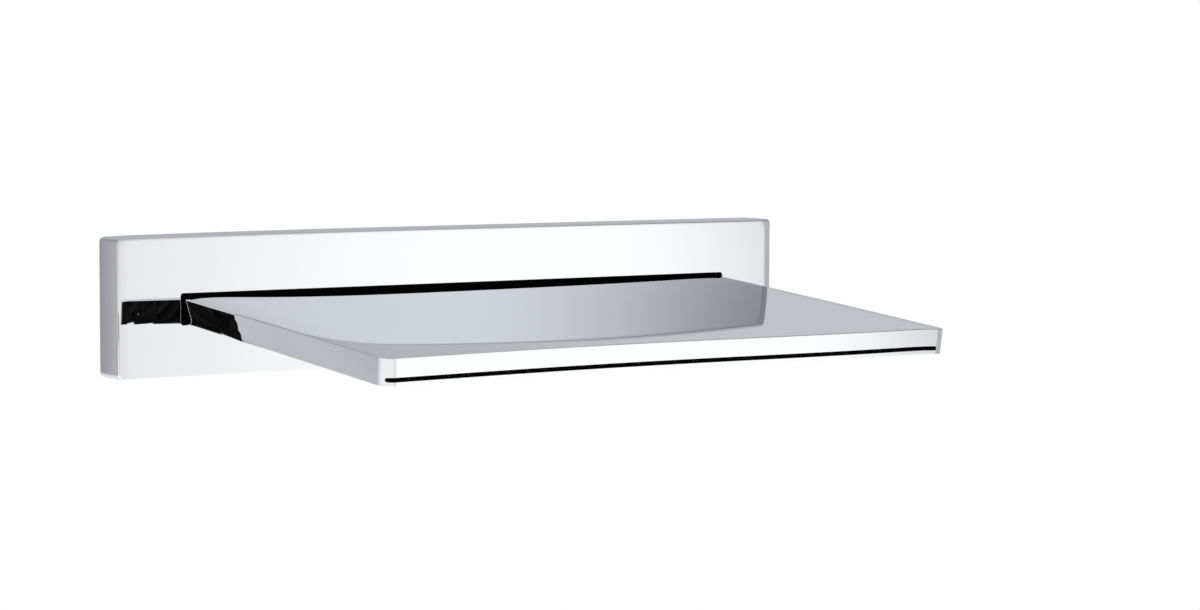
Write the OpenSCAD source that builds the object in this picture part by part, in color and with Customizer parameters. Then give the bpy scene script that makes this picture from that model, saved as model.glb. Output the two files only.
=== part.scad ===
// Wall-mounted waterfall bath filler: a hollow cover plate, a thin sloping blade with a slot
// outlet, and the waterway, bracket and fixings that the plate hides.
// The origin is the middle of the cover plate's rear face, which lies on the wall.
// +X is to the right, +Y goes into the wall, +Z is up, and the blade reaches out along -Y.

/* [Cover plate] */
// How far the plate reaches past the blade at each side
plate_margin = 27.25; // [24:0.25:40]
// Height of the cover plate
plate_h = 53; // [47:0.5:70]
// How far the plate's front face stands off the wall
plate_t = 16.5; // [14.5:0.5:22]
// Thickness of the plate's left and right walls
plate_side_wall = 3; // [2:0.1:3.4]
// Thickness of the plate's top and bottom walls
plate_rim_wall = 2.5; // [1.6:0.1:2.6]
// Thickness of the plate's front wall
plate_front_wall = 2.5; // [1.6:0.1:2.6]
// Radius of the plate's upright front edges, seen from above
plate_edge_r = 1; // [0.5:0.5:8]
// Radius of the plate's four corners, seen from the front
plate_corner_r = 2; // [1:0.5:4]

/* [Aperture for the blade] */
// Gap between the blade's sides and the aperture
aperture_side_gap = 1.9; // [0.6:0.1:2.2]
// Gap above the blade's top
aperture_top_gap = 1.4; // [0.6:0.1:2]
// Gap below the blade's underside
aperture_bottom_gap = 0.8; // [0.6:0.1:2]
// Corner radius of the aperture
aperture_r = 1; // [0.5:0.1:2]

/* [Blade] */
// Width of the blade across its top
blade_w = 245.5; // [200:0.5:300]
// Length of the blade along its slope, from the plate's front face
blade_len = 147; // [110:1:180]
// Height of the blade, square to its slope
blade_h = 9.8; // [9.4:0.1:10.4]
// Downward slope of the blade, in degrees
blade_tilt = 4.4; // [2:0.1:6]
// Inward lean of the blade's sides towards the bottom, in degrees
blade_draft = 4.5; // [0.5:0.1:6]
// Height of the blade's top at the plate's front face, above the plate's middle
blade_top_z = 3.4; // [2:0.1:4.5]
// Radius of the blade's upright front edges, seen from above
blade_edge_r = 5; // [3:0.5:6]
// Thickness of the blade's top wall
blade_top_wall = 2; // [1.4:0.1:2.4]
// Thickness of the blade's side walls at the top
blade_side_wall = 3; // [2.6:0.1:4]
// Thickness of the blade's front wall
blade_front_wall = 3; // [2:0.1:5]
// Thickness of the blade's bottom plate
floor_t = 1.5; // [1:0.1:1.6]

/* [Outlet slot] */
// Height of the slot that the water leaves by
slot_h = 1.5; // [1:0.1:1.6]
// Depth of the slot's upper edge below the blade's top
slot_drop = 6.75; // [5.5:0.05:6.8]
// Distance from the blade's side to the end of the slot
slot_margin = 3.6; // [3:0.1:8]

/* [Flow parts inside the blade] */
// Distance of the diffuser behind the plate's front face, measured out along the blade
diffuser_at = 10; // [4:1:30]
// Thickness of the diffuser strip
diffuser_t = 1.2; // [0.8:0.1:2]
// Radius of the diffuser's holes
diffuser_hole_r = 1.5; // [1:0.1:1.8]
// Spacing of the diffuser's holes
diffuser_pitch = 6; // [5:0.5:12]
// Distance between the flow comb and the blade's front wall
comb_gap = 18; // [8:1:40]
// Length of the flow comb's fins
comb_len = 30; // [10:1:34]
// Thickness of one fin
fin_t = 0.8; // [0.6:0.1:1.4]
// Spacing of the fins
fin_pitch = 8; // [6:0.5:16]
// Thickness of the web that joins the fins
comb_web_t = 0.8; // [0.6:0.1:1.2]

/* [Waterway behind the plate] */
// How far the blade's flange and the manifold reach past the blade at each side
flange_margin = 3.25; // [3:0.05:5]
// Thickness of the manifold's rear wall
manifold_back_wall = 2; // [1.5:0.1:2.4]
// Thickness of the manifold's walls at the two ends of the chamber
manifold_end_wall = 7; // [6:0.5:20]
// Height of the manifold's water chamber
chamber_h = 8; // [6:0.2:8.2]
// Thickness of the gasket between manifold and flange
gasket_t = 1; // [0.6:0.1:1.4]
// Thickness of the flange that the blade is brazed into
flange_t = 2.5; // [2.4:0.1:2.8]
// Thickness of the rubber collar between the flange and the plate
collar_t = 1; // [0.6:0.1:1.4]
// Outer radius of the boss that takes the inlet spigot
boss_r = 12; // [10.5:0.1:12.4]
// How far the boss reaches behind the wall's face
boss_reach = 9; // [8:0.5:16]

/* [Screws of the waterway] */
// Radius of the flange screws' shanks
flange_screw_r = 1.5; // [1.2:0.1:1.6]
// Radius of the flange screws' countersunk heads
flange_head_r = 2.9; // [2.4:0.1:3]
// Length of the flange screws
flange_screw_len = 9; // [7:0.5:9]
// Gap between the blade and the flange screws' heads
flange_head_gap = 1.5; // [0.8:0.1:2]
// Distance of the flange screws from the flange's upper and lower edges
flange_edge = 3.9; // [3.5:0.1:4.5]
// Distance of the outermost flange screws from the flange's ends
flange_end = 13.5; // [8:0.5:20]
// Number of flange screws in one row
flange_screw_count = 6; // [2:2:6]
// Radius of the manifold screws' shanks
manifold_screw_r = 1.5; // [1.2:0.1:2]
// Radius of the manifold screws' heads
manifold_head_r = 2.7; // [2.4:0.1:3.2]
// Height of the manifold screws' heads
manifold_head_h = 2.2; // [1.5:0.1:2.6]
// Distance between the two manifold screws
manifold_screw_span = 150; // [60:1:200]
// Thickness of the lugs that the manifold screws hold
lug_t = 3; // [2:0.1:4]
// Width of the lugs
lug_w = 14; // [10:0.5:20]
// Radius of the locating pins
pin_r = 2; // [1.5:0.1:2.2]
// Length of the locating pins
pin_len = 6; // [3.5:0.5:6.5]
// Distance between the two locating pins
locating_pin_spacing = 180; // [150:1:184]

/* [Wall bracket] */
// Gap between the wall bracket's ends and the plate's side walls
bracket_side_gap = 5; // [3:0.5:6]
// Gap above and below the bracket, inside the plate
bracket_level_gap = 2; // [1.8:0.1:2.4]
// Thickness of the bracket's sheet
bracket_t = 1.5; // [1.2:0.1:1.6]
// Gap between the bracket's flanges and the inside of the plate's front wall
bracket_front_gap = 3.5; // [2:0.5:5]
// Distance of the wall screws from the manifold's ends
wall_screw_gap = 8; // [7.5:0.5:9]
// Radius of the wall screws' shanks
wall_screw_r = 2; // [1.6:0.1:2.2]
// Length of the wall screws under the head
wall_screw_len = 26; // [22:1:50]
// Radius of the wall screws' heads
wall_head_r = 3.8; // [3.2:0.1:4]
// Height of the wall screws' heads
wall_head_h = 2.4; // [1.8:0.1:3]
// Outer radius of the washers under the wall screws
washer_r = 4.6; // [4.2:0.1:4.8]
// Thickness of those washers
washer_t = 1; // [0.6:0.1:1.4]
// Outer radius of the wall plugs
plug_r = 3.5; // [3.2:0.1:5]
// Length of the wall plugs
plug_len = 22; // [20:1:45]
// Depth of the plugs' mouths below the wall's face
plug_recess = 2.5; // [2.2:0.1:4]
// Width of the slit that lets a wall plug spread
plug_slit = 0.8; // [0.5:0.1:1.2]
// Distance of the slit's root from the plug's mouth
plug_slit_at = 12; // [6:1:20]

/* [Plate fixings] */
// Radius of the grub screws that hold the plate
grub_r = 2; // [1.5:0.1:2.5]
// Width across the flats of the grub screws' hexagon sockets
grub_key = 2; // [1.5:0.1:2]
// Distance between the two grub screws
grub_span = 220; // [160:1:240]
// Distance of the grub screws behind the front edge of the bracket's flange
grub_inset = 2.5; // [2.2:0.1:4]
// Width of the stops inside the plate's top wall
stop_w = 16; // [8:1:30]
// Thickness of the foam seal inside the plate's rear rim
seal_t = 1.5; // [1:0.1:1.6]
// Depth of the foam seal from the wall
seal_depth = 3; // [2:0.5:4]

/* [Inlet] */
// Outer radius of the inlet's pipe thread
thread_r = 10.48; // [9.5:0.01:13.2]
// Length of the threaded end
thread_len = 15; // [12:0.5:25]
// Outer radius of the spigot that slides into the boss
spigot_r = 8; // [7.5:0.1:8.4]
// Radius of the inlet's bore
inlet_bore_r = 5; // [4:0.1:5.2]
// Width across the flats of the inlet's hexagon
hex_flats = 26; // [25.6:0.1:30]
// Length of the inlet's hexagon
hex_len = 6; // [4:0.5:10]
// Gap between the manifold's boss and the hexagon
hex_gap = 2; // [0.5:0.5:5]
// Depth of the relief groove between the hexagon and the thread
relief_depth = 0.8; // [0.4:0.1:1.2]
// How much longer the relief groove is than the flat washer is thick
relief_run = 0.5; // [0.2:0.1:2]
// Radius of an O-ring's section
o_ring_section_r = 0.9; // [0.7:0.05:0.95]
// Depth of the first O-ring behind the wall's face
o_ring_at = 2.3; // [1.5:0.1:3]
// Spacing of the two O-rings
o_ring_pitch = 4; // [3:0.1:4.4]
// How much wider a groove is than its O-ring
groove_play = 0.5; // [0.2:0.1:0.8]
// Thickness of the flat washer behind the hexagon
tail_washer_t = 1.5; // [1:0.1:2]
// How far that washer stays inside the hexagon's flats
tail_washer_inset = 0.4; // [0:0.1:0.6]
// Outer radius of the inlet filter
filter_r = 7.4; // [6.8:0.1:8]
// Radius of the filter's mesh
filter_mesh_r = 5.6; // [5:0.1:6]
// Depth of the filter's rim
filter_depth = 3; // [2:0.5:5]
// Width of the lip in the rim that the mesh rests on
filter_lip = 0.6; // [0.3:0.1:1]
// Thickness of the filter's mesh
mesh_t = 0.4; // [0.3:0.1:0.8]
// Radius of one hole in the mesh
mesh_hole_r = 0.5; // [0.3:0.05:0.6]
// Spacing of the holes in the mesh
mesh_pitch = 1.7; // [1.6:0.1:3]

/* [Clearances] */
// Gap between brazed or closely fitted faces
close_gap = 0.05; // [0.02:0.01:0.1]
// Gap round a screw in its clearance hole, and round parts that slide together
slip_gap = 0.1; // [0.05:0.01:0.2]
// Gap round the wall screws and the boss in the bracket, which lets it be levelled
wall_gap = 0.5; // [0.2:0.1:0.8]
// How far a blind screw hole runs past the screw's tip
hole_run = 0.4; // [0.2:0.1:0.8]

/* [Hidden] */
$fn = 64;

// Extra length that lets a cut run past the face it opens
past = 1;
// The least that a countersink's cut runs past its face
sliver = 0.001;
// Smallest radius of an inside corner
least_r = 0.5;

// Depths from the wall of the pieces stacked behind the plate
cavity_depth = plate_t - plate_front_wall;
flange_front = cavity_depth - collar_t;
flange_back = flange_front - flange_t;
manifold_front = flange_back - gasket_t;
chamber_back = bracket_t + manifold_back_wall;

// Cover plate
plate_w = blade_w + 2 * plate_margin;
cavity_w = plate_w - 2 * plate_side_wall;
cavity_h = plate_h - 2 * plate_rim_wall;
cavity_edge_r = max(least_r, plate_edge_r - plate_side_wall);

// Wall bracket, and the plate's fixings on it
bracket_w = cavity_w - 2 * bracket_side_gap;
bracket_h = cavity_h - 2 * bracket_level_gap;
bracket_reach = cavity_depth - bracket_front_gap;
grub_y = bracket_reach - grub_inset;
grub_recess = 0.25;
grub_len = plate_h / 2 - bracket_h / 2 - 2 * grub_recess;
stop_h = bracket_level_gap - slip_gap;

// Blade
blade_side_in = blade_h * tan(blade_draft);
blade_inner_w = blade_w - 2 * blade_side_wall;
blade_inner_r = 2;
channel_h = blade_h - floor_t - blade_top_wall;
slot_w = blade_w - 2 * slot_margin;
// The slot's ends are round, just short of a full half circle
slot_end_r = slot_h / 2 - sliver;

// Height of the blade's top at a distance from the wall
function blade_top_at(depth) = blade_top_z + (plate_t - depth) * tan(blade_tilt);
// The blade's upright height, which its slope makes a little more than its square height
blade_rise = blade_h / cos(blade_tilt);
aperture_top = blade_top_z + aperture_top_gap;
aperture_bottom = blade_top_z - blade_rise - aperture_bottom_gap;
waterway_z = blade_top_at((flange_front + flange_back) / 2) - blade_rise / 2;

// Where the comb starts, measured out from the plate's front face
comb_at = blade_len - blade_front_wall - comb_gap - comb_len;

// Waterway
flange_rows = blade_rise + 2 * (flange_head_r + flange_head_gap);
manifold_w = blade_w + 2 * flange_margin;
manifold_h = flange_rows + 2 * flange_edge;
manifold_corner_r = 2;
flange_screw_pitch = (manifold_w - 2 * flange_end) / (flange_screw_count - 1);
chamber_w = manifold_w - 2 * manifold_end_wall;
chamber_r = 2;
wall_screw_span = manifold_w + 2 * wall_screw_gap;
lug_top = bracket_h / 2 - bracket_t - slip_gap;
manifold_top = waterway_z + manifold_h / 2;
manifold_screw_z = (manifold_top + lug_top) / 2;
flange_head_depth = flange_head_r - flange_screw_r;
pin_z = waterway_z - flange_rows / 2;

// Inlet
spigot_bore_r = spigot_r + slip_gap;
tail_front = chamber_back - slip_gap;
hex_start = boss_reach + hex_gap;
thread_start = hex_start + hex_len;
relief_len = tail_washer_t + relief_run;
tail_washer_r = hex_flats / 2 - tail_washer_inset;
relief_r = thread_r - relief_depth;
thread_end = thread_start + relief_len + thread_len;
o_ring_r = spigot_r - o_ring_section_r + close_gap;
groove_w = 2 * o_ring_section_r + groove_play;
groove_r = o_ring_r - o_ring_section_r - close_gap;
o_ring_places = [o_ring_at, o_ring_at + o_ring_pitch];
filter_seat_r = filter_r + slip_gap;

chrome = [0.86, 0.87, 0.89];
brass = [0.78, 0.62, 0.32];
steel = [0.62, 0.63, 0.65];
rubber = [0.09, 0.09, 0.10];
foam = [0.22, 0.22, 0.24];
plastic = [0.90, 0.90, 0.86];
fibre = [0.55, 0.16, 0.12];
plug_grey = [0.55, 0.56, 0.58];

// A rectangle with round corners, drawn about its middle
module round_rect(w, h, r) {
    square([w - 2 * r, h], center = true);
    square([w, h - 2 * r], center = true);
    for (sx = [-1, 1], sz = [-1, 1])
        translate([sx * (w / 2 - r), sz * (h / 2 - r)])
            circle(r);
}

// The same rectangle as one outline, its corners drawn in short steps
module stepped_rect(w, h, r) {
    steps = 8;
    polygon([
        for (corner = [0 : 3], i = [0 : steps])
            let (
                angle = (corner + i / steps) * 90,
                side = (corner == 0 || corner == 3) ? 1 : -1,
                level = (corner < 2) ? 1 : -1
            )
            [side * (w / 2 - r) + r * cos(angle), level * (h / 2 - r) + r * sin(angle)]
    ]);
}

// An upright slab about the origin, from one depth to another, measured out from the wall
module slab(w, h, r, from, to) {
    translate([0, -from, 0])
        rotate([90, 0, 0])
            linear_extrude(to - from)
                round_rect(w, h, r);
}

// A round bar along Y, from one depth to another, measured out from the wall
module bar(r, from, to, fn = 64) {
    translate([0, -from, 0])
        rotate([90, 0, 0])
            cylinder(r = r, h = to - from, $fn = fn);
}

// Plan of a box on the wall whose two front corners are round
module plan_outline(w, depth, r) {
    translate([-w / 2, -depth + r])
        square([w, depth - r + past]);
    translate([-w / 2 + r, -depth])
        square([w - 2 * r, depth]);
    for (sx = [-1, 1])
        translate([sx * (w / 2 - r), -depth + r])
            circle(r, $fn = 96);
}

// A box on the wall with round front edges, and with round corners when seen from the front
module plate_form(w, h, depth, edge_r, corner_r, behind) {
    intersection() {
        slab(w, h, corner_r, -behind, depth);
        translate([0, 0, -h / 2])
            linear_extrude(h)
                plan_outline(w, depth, edge_r);
    }
}

// Moves its children to both sides, at plus and minus half a span
module pair(span) {
    for (sx = [-1, 1])
        translate([sx * span / 2, 0, 0])
            children();
}

// The blade's own frame: its origin is on the blade's top at the plate's front face,
// and its -Y axis runs out along the slope
module blade_frame() {
    translate([0, -plate_t, blade_top_z])
        rotate([blade_tilt, 0, 0])
            children();
}

// The blade's outline swept along its slope, grown by a gap on every side
module blade_prism(grow, rear, front) {
    half = blade_w / 2 + grow;
    blade_frame()
        translate([0, rear, 0])
            rotate([90, 0, 0])
                linear_extrude(rear + front)
                    polygon([
                        [-half, grow], [half, grow],
                        [half - blade_side_in, -blade_h - grow],
                        [-half + blade_side_in, -blade_h - grow]
                    ]);
}

// What is cut away to round the blade's upright front edge on the right
module blade_edge_cut() {
    r = blade_edge_r;
    translate([blade_w / 2, -blade_len, 0])
        rotate([0, blade_draft, 0])
            difference() {
                translate([-r, -past, -blade_h - past])
                    cube([r + past, r + past, blade_h + 2 * past]);
                translate([-r, r, -blade_h - 2 * past])
                    cylinder(r = r, h = blade_h + 4 * past, $fn = 96);
            }
}

// Everything nearer to the wall than a depth, to cut the blade off square to the wall
module wall_side(depth) {
    translate([-plate_w, -depth, -plate_h])
        cube([2 * plate_w, plate_t * 2, 2 * plate_h]);
}

// Places of the flange screws, in the plane of the wall
module flange_screw_places() {
    for (row = [-1, 1], i = [0 : flange_screw_count - 1])
        translate([
            (i - (flange_screw_count - 1) / 2) * flange_screw_pitch,
            0,
            waterway_z + row * flange_rows / 2
        ])
            children();
}

// Hollow chrome plate that hides the bracket and the waterway
module cover_plate() {
    color(chrome)
        difference() {
            plate_form(plate_w, plate_h, plate_t, plate_edge_r, plate_corner_r, 0);
            difference() {
                plate_form(cavity_w, cavity_h, cavity_depth, cavity_edge_r, plate_corner_r / 2, past);
                pair(grub_span)
                    translate([-stop_w / 2, -cavity_depth - past, cavity_h / 2 - stop_h])
                        cube([stop_w, cavity_depth - seal_depth, stop_h + past]);
            }
            translate([0, -cavity_depth + past, (aperture_top + aperture_bottom) / 2])
                rotate([90, 0, 0])
                    linear_extrude(plate_front_wall + 2 * past)
                        stepped_rect(
                            blade_w + 2 * aperture_side_gap, aperture_top - aperture_bottom,
                            aperture_r
                        );
            pair(grub_span)
                translate([0, -grub_y, -plate_h / 2 - past])
                    cylinder(r = grub_r + close_gap, h = plate_rim_wall + 2 * past, $fn = 32);
        }
}

// Foam strip inside the plate's rear rim, pressed on the wall
module cover_seal() {
    outer_gap = slip_gap;
    color(foam)
        difference() {
            slab(cavity_w - 2 * outer_gap, cavity_h - 2 * outer_gap, plate_corner_r / 2, 0, seal_depth);
            slab(
                cavity_w - 2 * outer_gap - 2 * seal_t, cavity_h - 2 * outer_gap - 2 * seal_t,
                plate_corner_r / 2, -past, seal_depth + past
            );
        }
}

// Two grub screws in the plate's bottom wall, tightened against the bracket
module grub_screws() {
    socket_r = grub_key / 2 / cos(30);
    color(steel)
        pair(grub_span)
            translate([0, -grub_y, -plate_h / 2 + grub_recess])
                difference() {
                    cylinder(r = grub_r, h = grub_len, $fn = 32);
                    translate([0, 0, -past])
                        cylinder(r = socket_r, h = grub_len / 2 + past, $fn = 6);
                }
}

// Top, sides and front of the blade in one piece, with the slot through its front
module blade_shell() {
    color(chrome)
        difference() {
            blade_prism(0, plate_t, blade_len);
            blade_frame() {
                blade_edge_cut();
                mirror([1, 0, 0])
                    blade_edge_cut();
                translate([0, (plate_t + past - blade_len + blade_front_wall) / 2, -blade_h - past])
                    linear_extrude(blade_h + past - blade_top_wall)
                        round_rect(
                            blade_inner_w, plate_t + past + blade_len - blade_front_wall, blade_inner_r
                        );
                translate([0, -blade_len + blade_front_wall + past, -slot_drop - slot_h / 2])
                    rotate([90, 0, 0])
                        linear_extrude(blade_front_wall + 2 * past)
                            round_rect(slot_w, slot_h, slot_end_r);
            }
            wall_side(flange_back);
        }
}

// Bottom plate, brazed between the shell's sides behind the front wall
module blade_floor() {
    length = plate_t + blade_len - blade_front_wall - close_gap;
    color(chrome)
        difference() {
            blade_frame()
                translate([0, plate_t - length / 2, -blade_h])
                    linear_extrude(floor_t)
                        round_rect(blade_inner_w - 2 * close_gap, length, blade_inner_r);
            wall_side(flange_back);
        }
}

// Flange that the blade's rear end is brazed into
module blade_flange() {
    color(brass)
        difference() {
            translate([0, 0, waterway_z])
                slab(manifold_w, manifold_h, manifold_corner_r, flange_back, flange_front);
            blade_prism(close_gap, plate_t, past);
            flange_screw_places() {
                bar(flange_screw_r + slip_gap, flange_back - past, flange_front + past, 32);
                translate([0, -flange_front, 0])
                    rotate([90, 0, 0])
                        translate([0, 0, -flange_head_depth])
                            cylinder(
                                r1 = flange_screw_r + slip_gap,
                                r2 = flange_head_r + slip_gap,
                                h = flange_head_depth + sliver, $fn = 32
                            );
            }
        }
}

// Cross-shaped recess in a screw's head, cut to a depth below the head's front
module cross_recess(head_r, front, depth) {
    reach = head_r * 1.1;
    width = head_r * 0.3;
    for (turn = [0, 90])
        rotate([0, turn, 0])
            translate([-reach / 2, -front - past, -width / 2])
                cube([reach, depth + past, width]);
}

// Countersunk screws that clamp the flange and its gasket to the manifold
module flange_screws() {
    head_front = flange_front - close_gap;
    color(steel)
        flange_screw_places()
            difference() {
                union() {
                    bar(
                        flange_screw_r, head_front - flange_screw_len,
                        head_front - flange_head_depth / 2, 32
                    );
                    translate([0, -head_front, 0])
                        rotate([90, 0, 0])
                            translate([0, 0, -flange_head_depth])
                                cylinder(
                                    r1 = flange_screw_r, r2 = flange_head_r,
                                    h = flange_head_depth, $fn = 32
                                );
                }
                cross_recess(flange_head_r, head_front, flange_head_depth * 0.7);
            }
}

// Black rubber collar round the blade, which keeps splashes out of the plate
module aperture_collar() {
    color(rubber)
        difference() {
            translate([0, 0, waterway_z])
                slab(manifold_w, manifold_h, manifold_corner_r, flange_front, cavity_depth);
            blade_prism(close_gap, plate_t, past);
        }
}

// Perforated strip that spreads the water over the blade's whole width
module diffuser_strip() {
    height = channel_h - 2 * slip_gap;
    width = blade_inner_w - 2 * slip_gap;
    holes = floor((width - 2 * diffuser_pitch) / diffuser_pitch);
    color(steel)
        blade_frame()
            translate([0, -diffuser_at, -blade_top_wall - slip_gap - height / 2])
                rotate([90, 0, 0])
                    linear_extrude(diffuser_t)
                        difference() {
                            square([width, height], center = true);
                            for (i = [0 : holes])
                                translate([(i - holes / 2) * diffuser_pitch, 0])
                                    circle(diffuser_hole_r, $fn = 24);
                        }
}

// Comb whose fins straighten the water before the slot
module flow_comb() {
    height = channel_h - 2 * slip_gap;
    width = blade_inner_w - 2 * slip_gap;
    gaps = floor((width - fin_t) / fin_pitch);
    color(plastic)
        blade_frame()
            translate([0, -comb_at, -blade_top_wall - slip_gap])
                rotate([180, 0, 0]) {
                    translate([-width / 2, comb_len / 3, 0])
                        cube([width, comb_len / 3, comb_web_t]);
                    for (i = [0 : gaps])
                        translate([(i - gaps / 2) * fin_pitch - fin_t / 2, 0, 0])
                            cube([fin_t, comb_len, height]);
                }
}

// Gasket between the flange and the manifold
module manifold_gasket() {
    color(rubber)
        difference() {
            translate([0, 0, waterway_z])
                slab(manifold_w, manifold_h, manifold_corner_r, manifold_front, flange_back);
            translate([0, 0, waterway_z])
                slab(chamber_w, chamber_h, chamber_r, manifold_front - past, flange_back + past);
            flange_screw_places()
                bar(flange_screw_r + slip_gap, manifold_front - past, flange_back + past, 32);
        }
}

// Brass manifold that leads the water from the inlet to the blade's whole width
module manifold_body() {
    lug_h = lug_top - waterway_z;
    color(brass)
        difference() {
            union() {
                translate([0, 0, waterway_z]) {
                    slab(manifold_w, manifold_h, manifold_corner_r, bracket_t, manifold_front);
                    bar(boss_r, -boss_reach, bracket_t + past);
                }
                pair(manifold_screw_span)
                    translate([-lug_w / 2, -bracket_t - lug_t, lug_top - lug_h])
                        cube([lug_w, lug_t, lug_h]);
            }
            translate([0, 0, waterway_z]) {
                slab(chamber_w, chamber_h, chamber_r, chamber_back, manifold_front + past);
                bar(spigot_bore_r, -boss_reach - past, chamber_back + past);
            }
            flange_screw_places()
                bar(
                    flange_screw_r + close_gap, flange_front - flange_screw_len - hole_run,
                    manifold_front + past, 32
                );
            pair(manifold_screw_span)
                translate([0, 0, manifold_screw_z])
                    bar(manifold_screw_r + slip_gap, 0, bracket_t + lug_t + past, 32);
            pair(locating_pin_spacing)
                translate([0, 0, pin_z])
                    bar(pin_r + slip_gap, 0, pin_len + slip_gap, 32);
        }
}

// A pan-head screw along Y with a cross recess, its head's underside at a depth from the wall
module pan_screw(shank_r, head_r, head_h, seat, length) {
    rim_h = head_h * 0.6;
    difference() {
        union() {
            bar(shank_r, seat - length, seat + head_h / 2, 32);
            bar(head_r, seat, seat + rim_h, 48);
            translate([0, -seat - rim_h, 0])
                rotate([90, 0, 0])
                    cylinder(r1 = head_r, r2 = head_r * 0.7, h = head_h - rim_h, $fn = 48);
        }
        cross_recess(head_r, seat + head_h, rim_h);
    }
}

// Two screws that hold the manifold's lugs to the bracket
module manifold_screws() {
    color(steel)
        pair(manifold_screw_span)
            translate([0, 0, manifold_screw_z])
                pan_screw(
                    manifold_screw_r, manifold_head_r, manifold_head_h,
                    bracket_t + lug_t, bracket_t + lug_t - slip_gap
                );
}

// Two pins in the bracket that carry the manifold's lower edge
module locating_pins() {
    color(steel)
        pair(locating_pin_spacing)
            translate([0, 0, pin_z])
                bar(pin_r, slip_gap, pin_len, 32);
}

// Steel channel, screwed to the wall, that carries the manifold and the plate
module wall_bracket() {
    color(steel)
        difference() {
            union() {
                slab(bracket_w, bracket_h, least_r, 0, bracket_t);
                for (level = [-bracket_h / 2, bracket_h / 2 - bracket_t])
                    translate([-bracket_w / 2, -bracket_reach, level])
                        cube([bracket_w, bracket_reach, bracket_t]);
            }
            translate([0, 0, waterway_z])
                bar(boss_r + wall_gap, -past, bracket_t + past);
            pair(wall_screw_span)
                bar(wall_screw_r + wall_gap, -past, bracket_t + past, 32);
            pair(manifold_screw_span)
                translate([0, 0, manifold_screw_z])
                    bar(manifold_screw_r + close_gap, -past, bracket_t + past, 32);
            pair(locating_pin_spacing)
                translate([0, 0, pin_z])
                    bar(pin_r + close_gap, -past, bracket_t + past, 32);
        }
}

// Two pan-head screws that hold the bracket to the wall
module bracket_screws() {
    seat = bracket_t + washer_t;
    color(steel)
        pair(wall_screw_span)
            pan_screw(wall_screw_r, wall_head_r, wall_head_h, seat, wall_screw_len);
}

// Plain washers under the heads of the wall screws
module bracket_washers() {
    color(steel)
        pair(wall_screw_span)
            difference() {
                bar(washer_r, bracket_t, bracket_t + washer_t, 48);
                bar(wall_screw_r + slip_gap, bracket_t - past, bracket_t + washer_t + past, 32);
            }
}

// Plugs in the wall that the wall screws bite into, each slit from its far end
module wall_plugs() {
    color(plug_grey)
        pair(wall_screw_span)
            difference() {
                bar(plug_r, -plug_len - plug_recess, -plug_recess, 48);
                bar(wall_screw_r + close_gap, -plug_len - plug_recess - past, past, 32);
                translate([-plug_slit / 2, plug_recess + plug_slit_at, -plug_r - past])
                    cube([plug_slit, plug_len, 2 * plug_r + 2 * past]);
            }
}

// Inlet with a smooth spigot at the front, a hexagon, and a pipe thread at the wall's end
module inlet_tail() {
    hex_r = hex_flats / 2 / cos(30);
    nose = 1;
    color(brass)
        translate([0, 0, waterway_z])
            difference() {
                union() {
                    bar(spigot_r, -hex_start - past, tail_front);
                    translate([0, hex_start + hex_len, 0])
                        rotate([90, 0, 0])
                            cylinder(r = hex_r, h = hex_len, $fn = 6);
                    bar(relief_r, -thread_start - relief_len - past, -thread_start);
                    bar(thread_r, -thread_end + nose, -thread_start - relief_len);
                    translate([0, thread_end, 0])
                        rotate([90, 0, 0])
                            cylinder(r1 = thread_r - nose, r2 = thread_r, h = nose);
                }
                bar(inlet_bore_r, -thread_end - past, tail_front + past);
                bar(filter_seat_r, -thread_end - past, -thread_end + filter_depth);
                for (place = o_ring_places)
                    difference() {
                        bar(spigot_r + past, -place - groove_w / 2, -place + groove_w / 2);
                        bar(groove_r, -place - groove_w, -place + groove_w);
                    }
            }
}

// Two O-rings that seal the spigot in the manifold's boss
module spigot_o_rings() {
    color(rubber)
        for (place = o_ring_places)
            translate([0, place, waterway_z])
                rotate([90, 0, 0])
                    rotate_extrude($fn = 64)
                        translate([o_ring_r, 0])
                            circle(o_ring_section_r, $fn = 24);
}

// Flat washer between the hexagon and the fitting in the wall
module tail_washer() {
    color(fibre)
        translate([0, 0, waterway_z])
            difference() {
                bar(tail_washer_r, -thread_start - tail_washer_t, -thread_start);
                bar(thread_r + slip_gap, -thread_start - tail_washer_t - past, -thread_start + past);
            }
}

// Rim that holds the inlet's filter in the threaded end
module filter_rim() {
    color(plastic)
        translate([0, 0, waterway_z])
            difference() {
                bar(filter_r, -thread_end, -thread_end + filter_depth - slip_gap);
                bar(filter_mesh_r - filter_lip, -thread_end - past, -thread_end + filter_depth + past);
                bar(filter_mesh_r, -thread_end - past, -thread_end + filter_depth / 2);
            }
}

// Fine steel mesh that keeps grit out of the slot
module filter_mesh() {
    rings = floor((filter_mesh_r - filter_lip - mesh_hole_r) / mesh_pitch);
    seat = thread_end - filter_depth / 2;
    color(steel)
        translate([0, 0, waterway_z])
            difference() {
                bar(filter_mesh_r - close_gap, -seat - mesh_t, -seat, 48);
                bar(mesh_hole_r, -seat - mesh_t - past, -seat + past, 16);
                for (ring = [1 : rings], i = [0 : 6 * ring - 1])
                    rotate([0, i * 60 / ring, 0])
                        translate([ring * mesh_pitch, 0, 0])
                            bar(mesh_hole_r, -seat - mesh_t - past, -seat + past, 16);
            }
}

cover_plate();
cover_seal();
grub_screws();
blade_shell();
blade_floor();
blade_flange();
flange_screws();
aperture_collar();
diffuser_strip();
flow_comb();
manifold_gasket();
manifold_body();
manifold_screws();
locating_pins();
wall_bracket();
bracket_screws();
bracket_washers();
wall_plugs();
inlet_tail();
spigot_o_rings();
tail_washer();
filter_rim();
filter_mesh();
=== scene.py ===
"""Waterfall bath filler: the looks of its pieces, built round the packed model."""

import math

import bmesh
import bpy
import numpy as np
from mathutils import Matrix, Vector
from mathutils.geometry import tessellate_polygon


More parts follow.
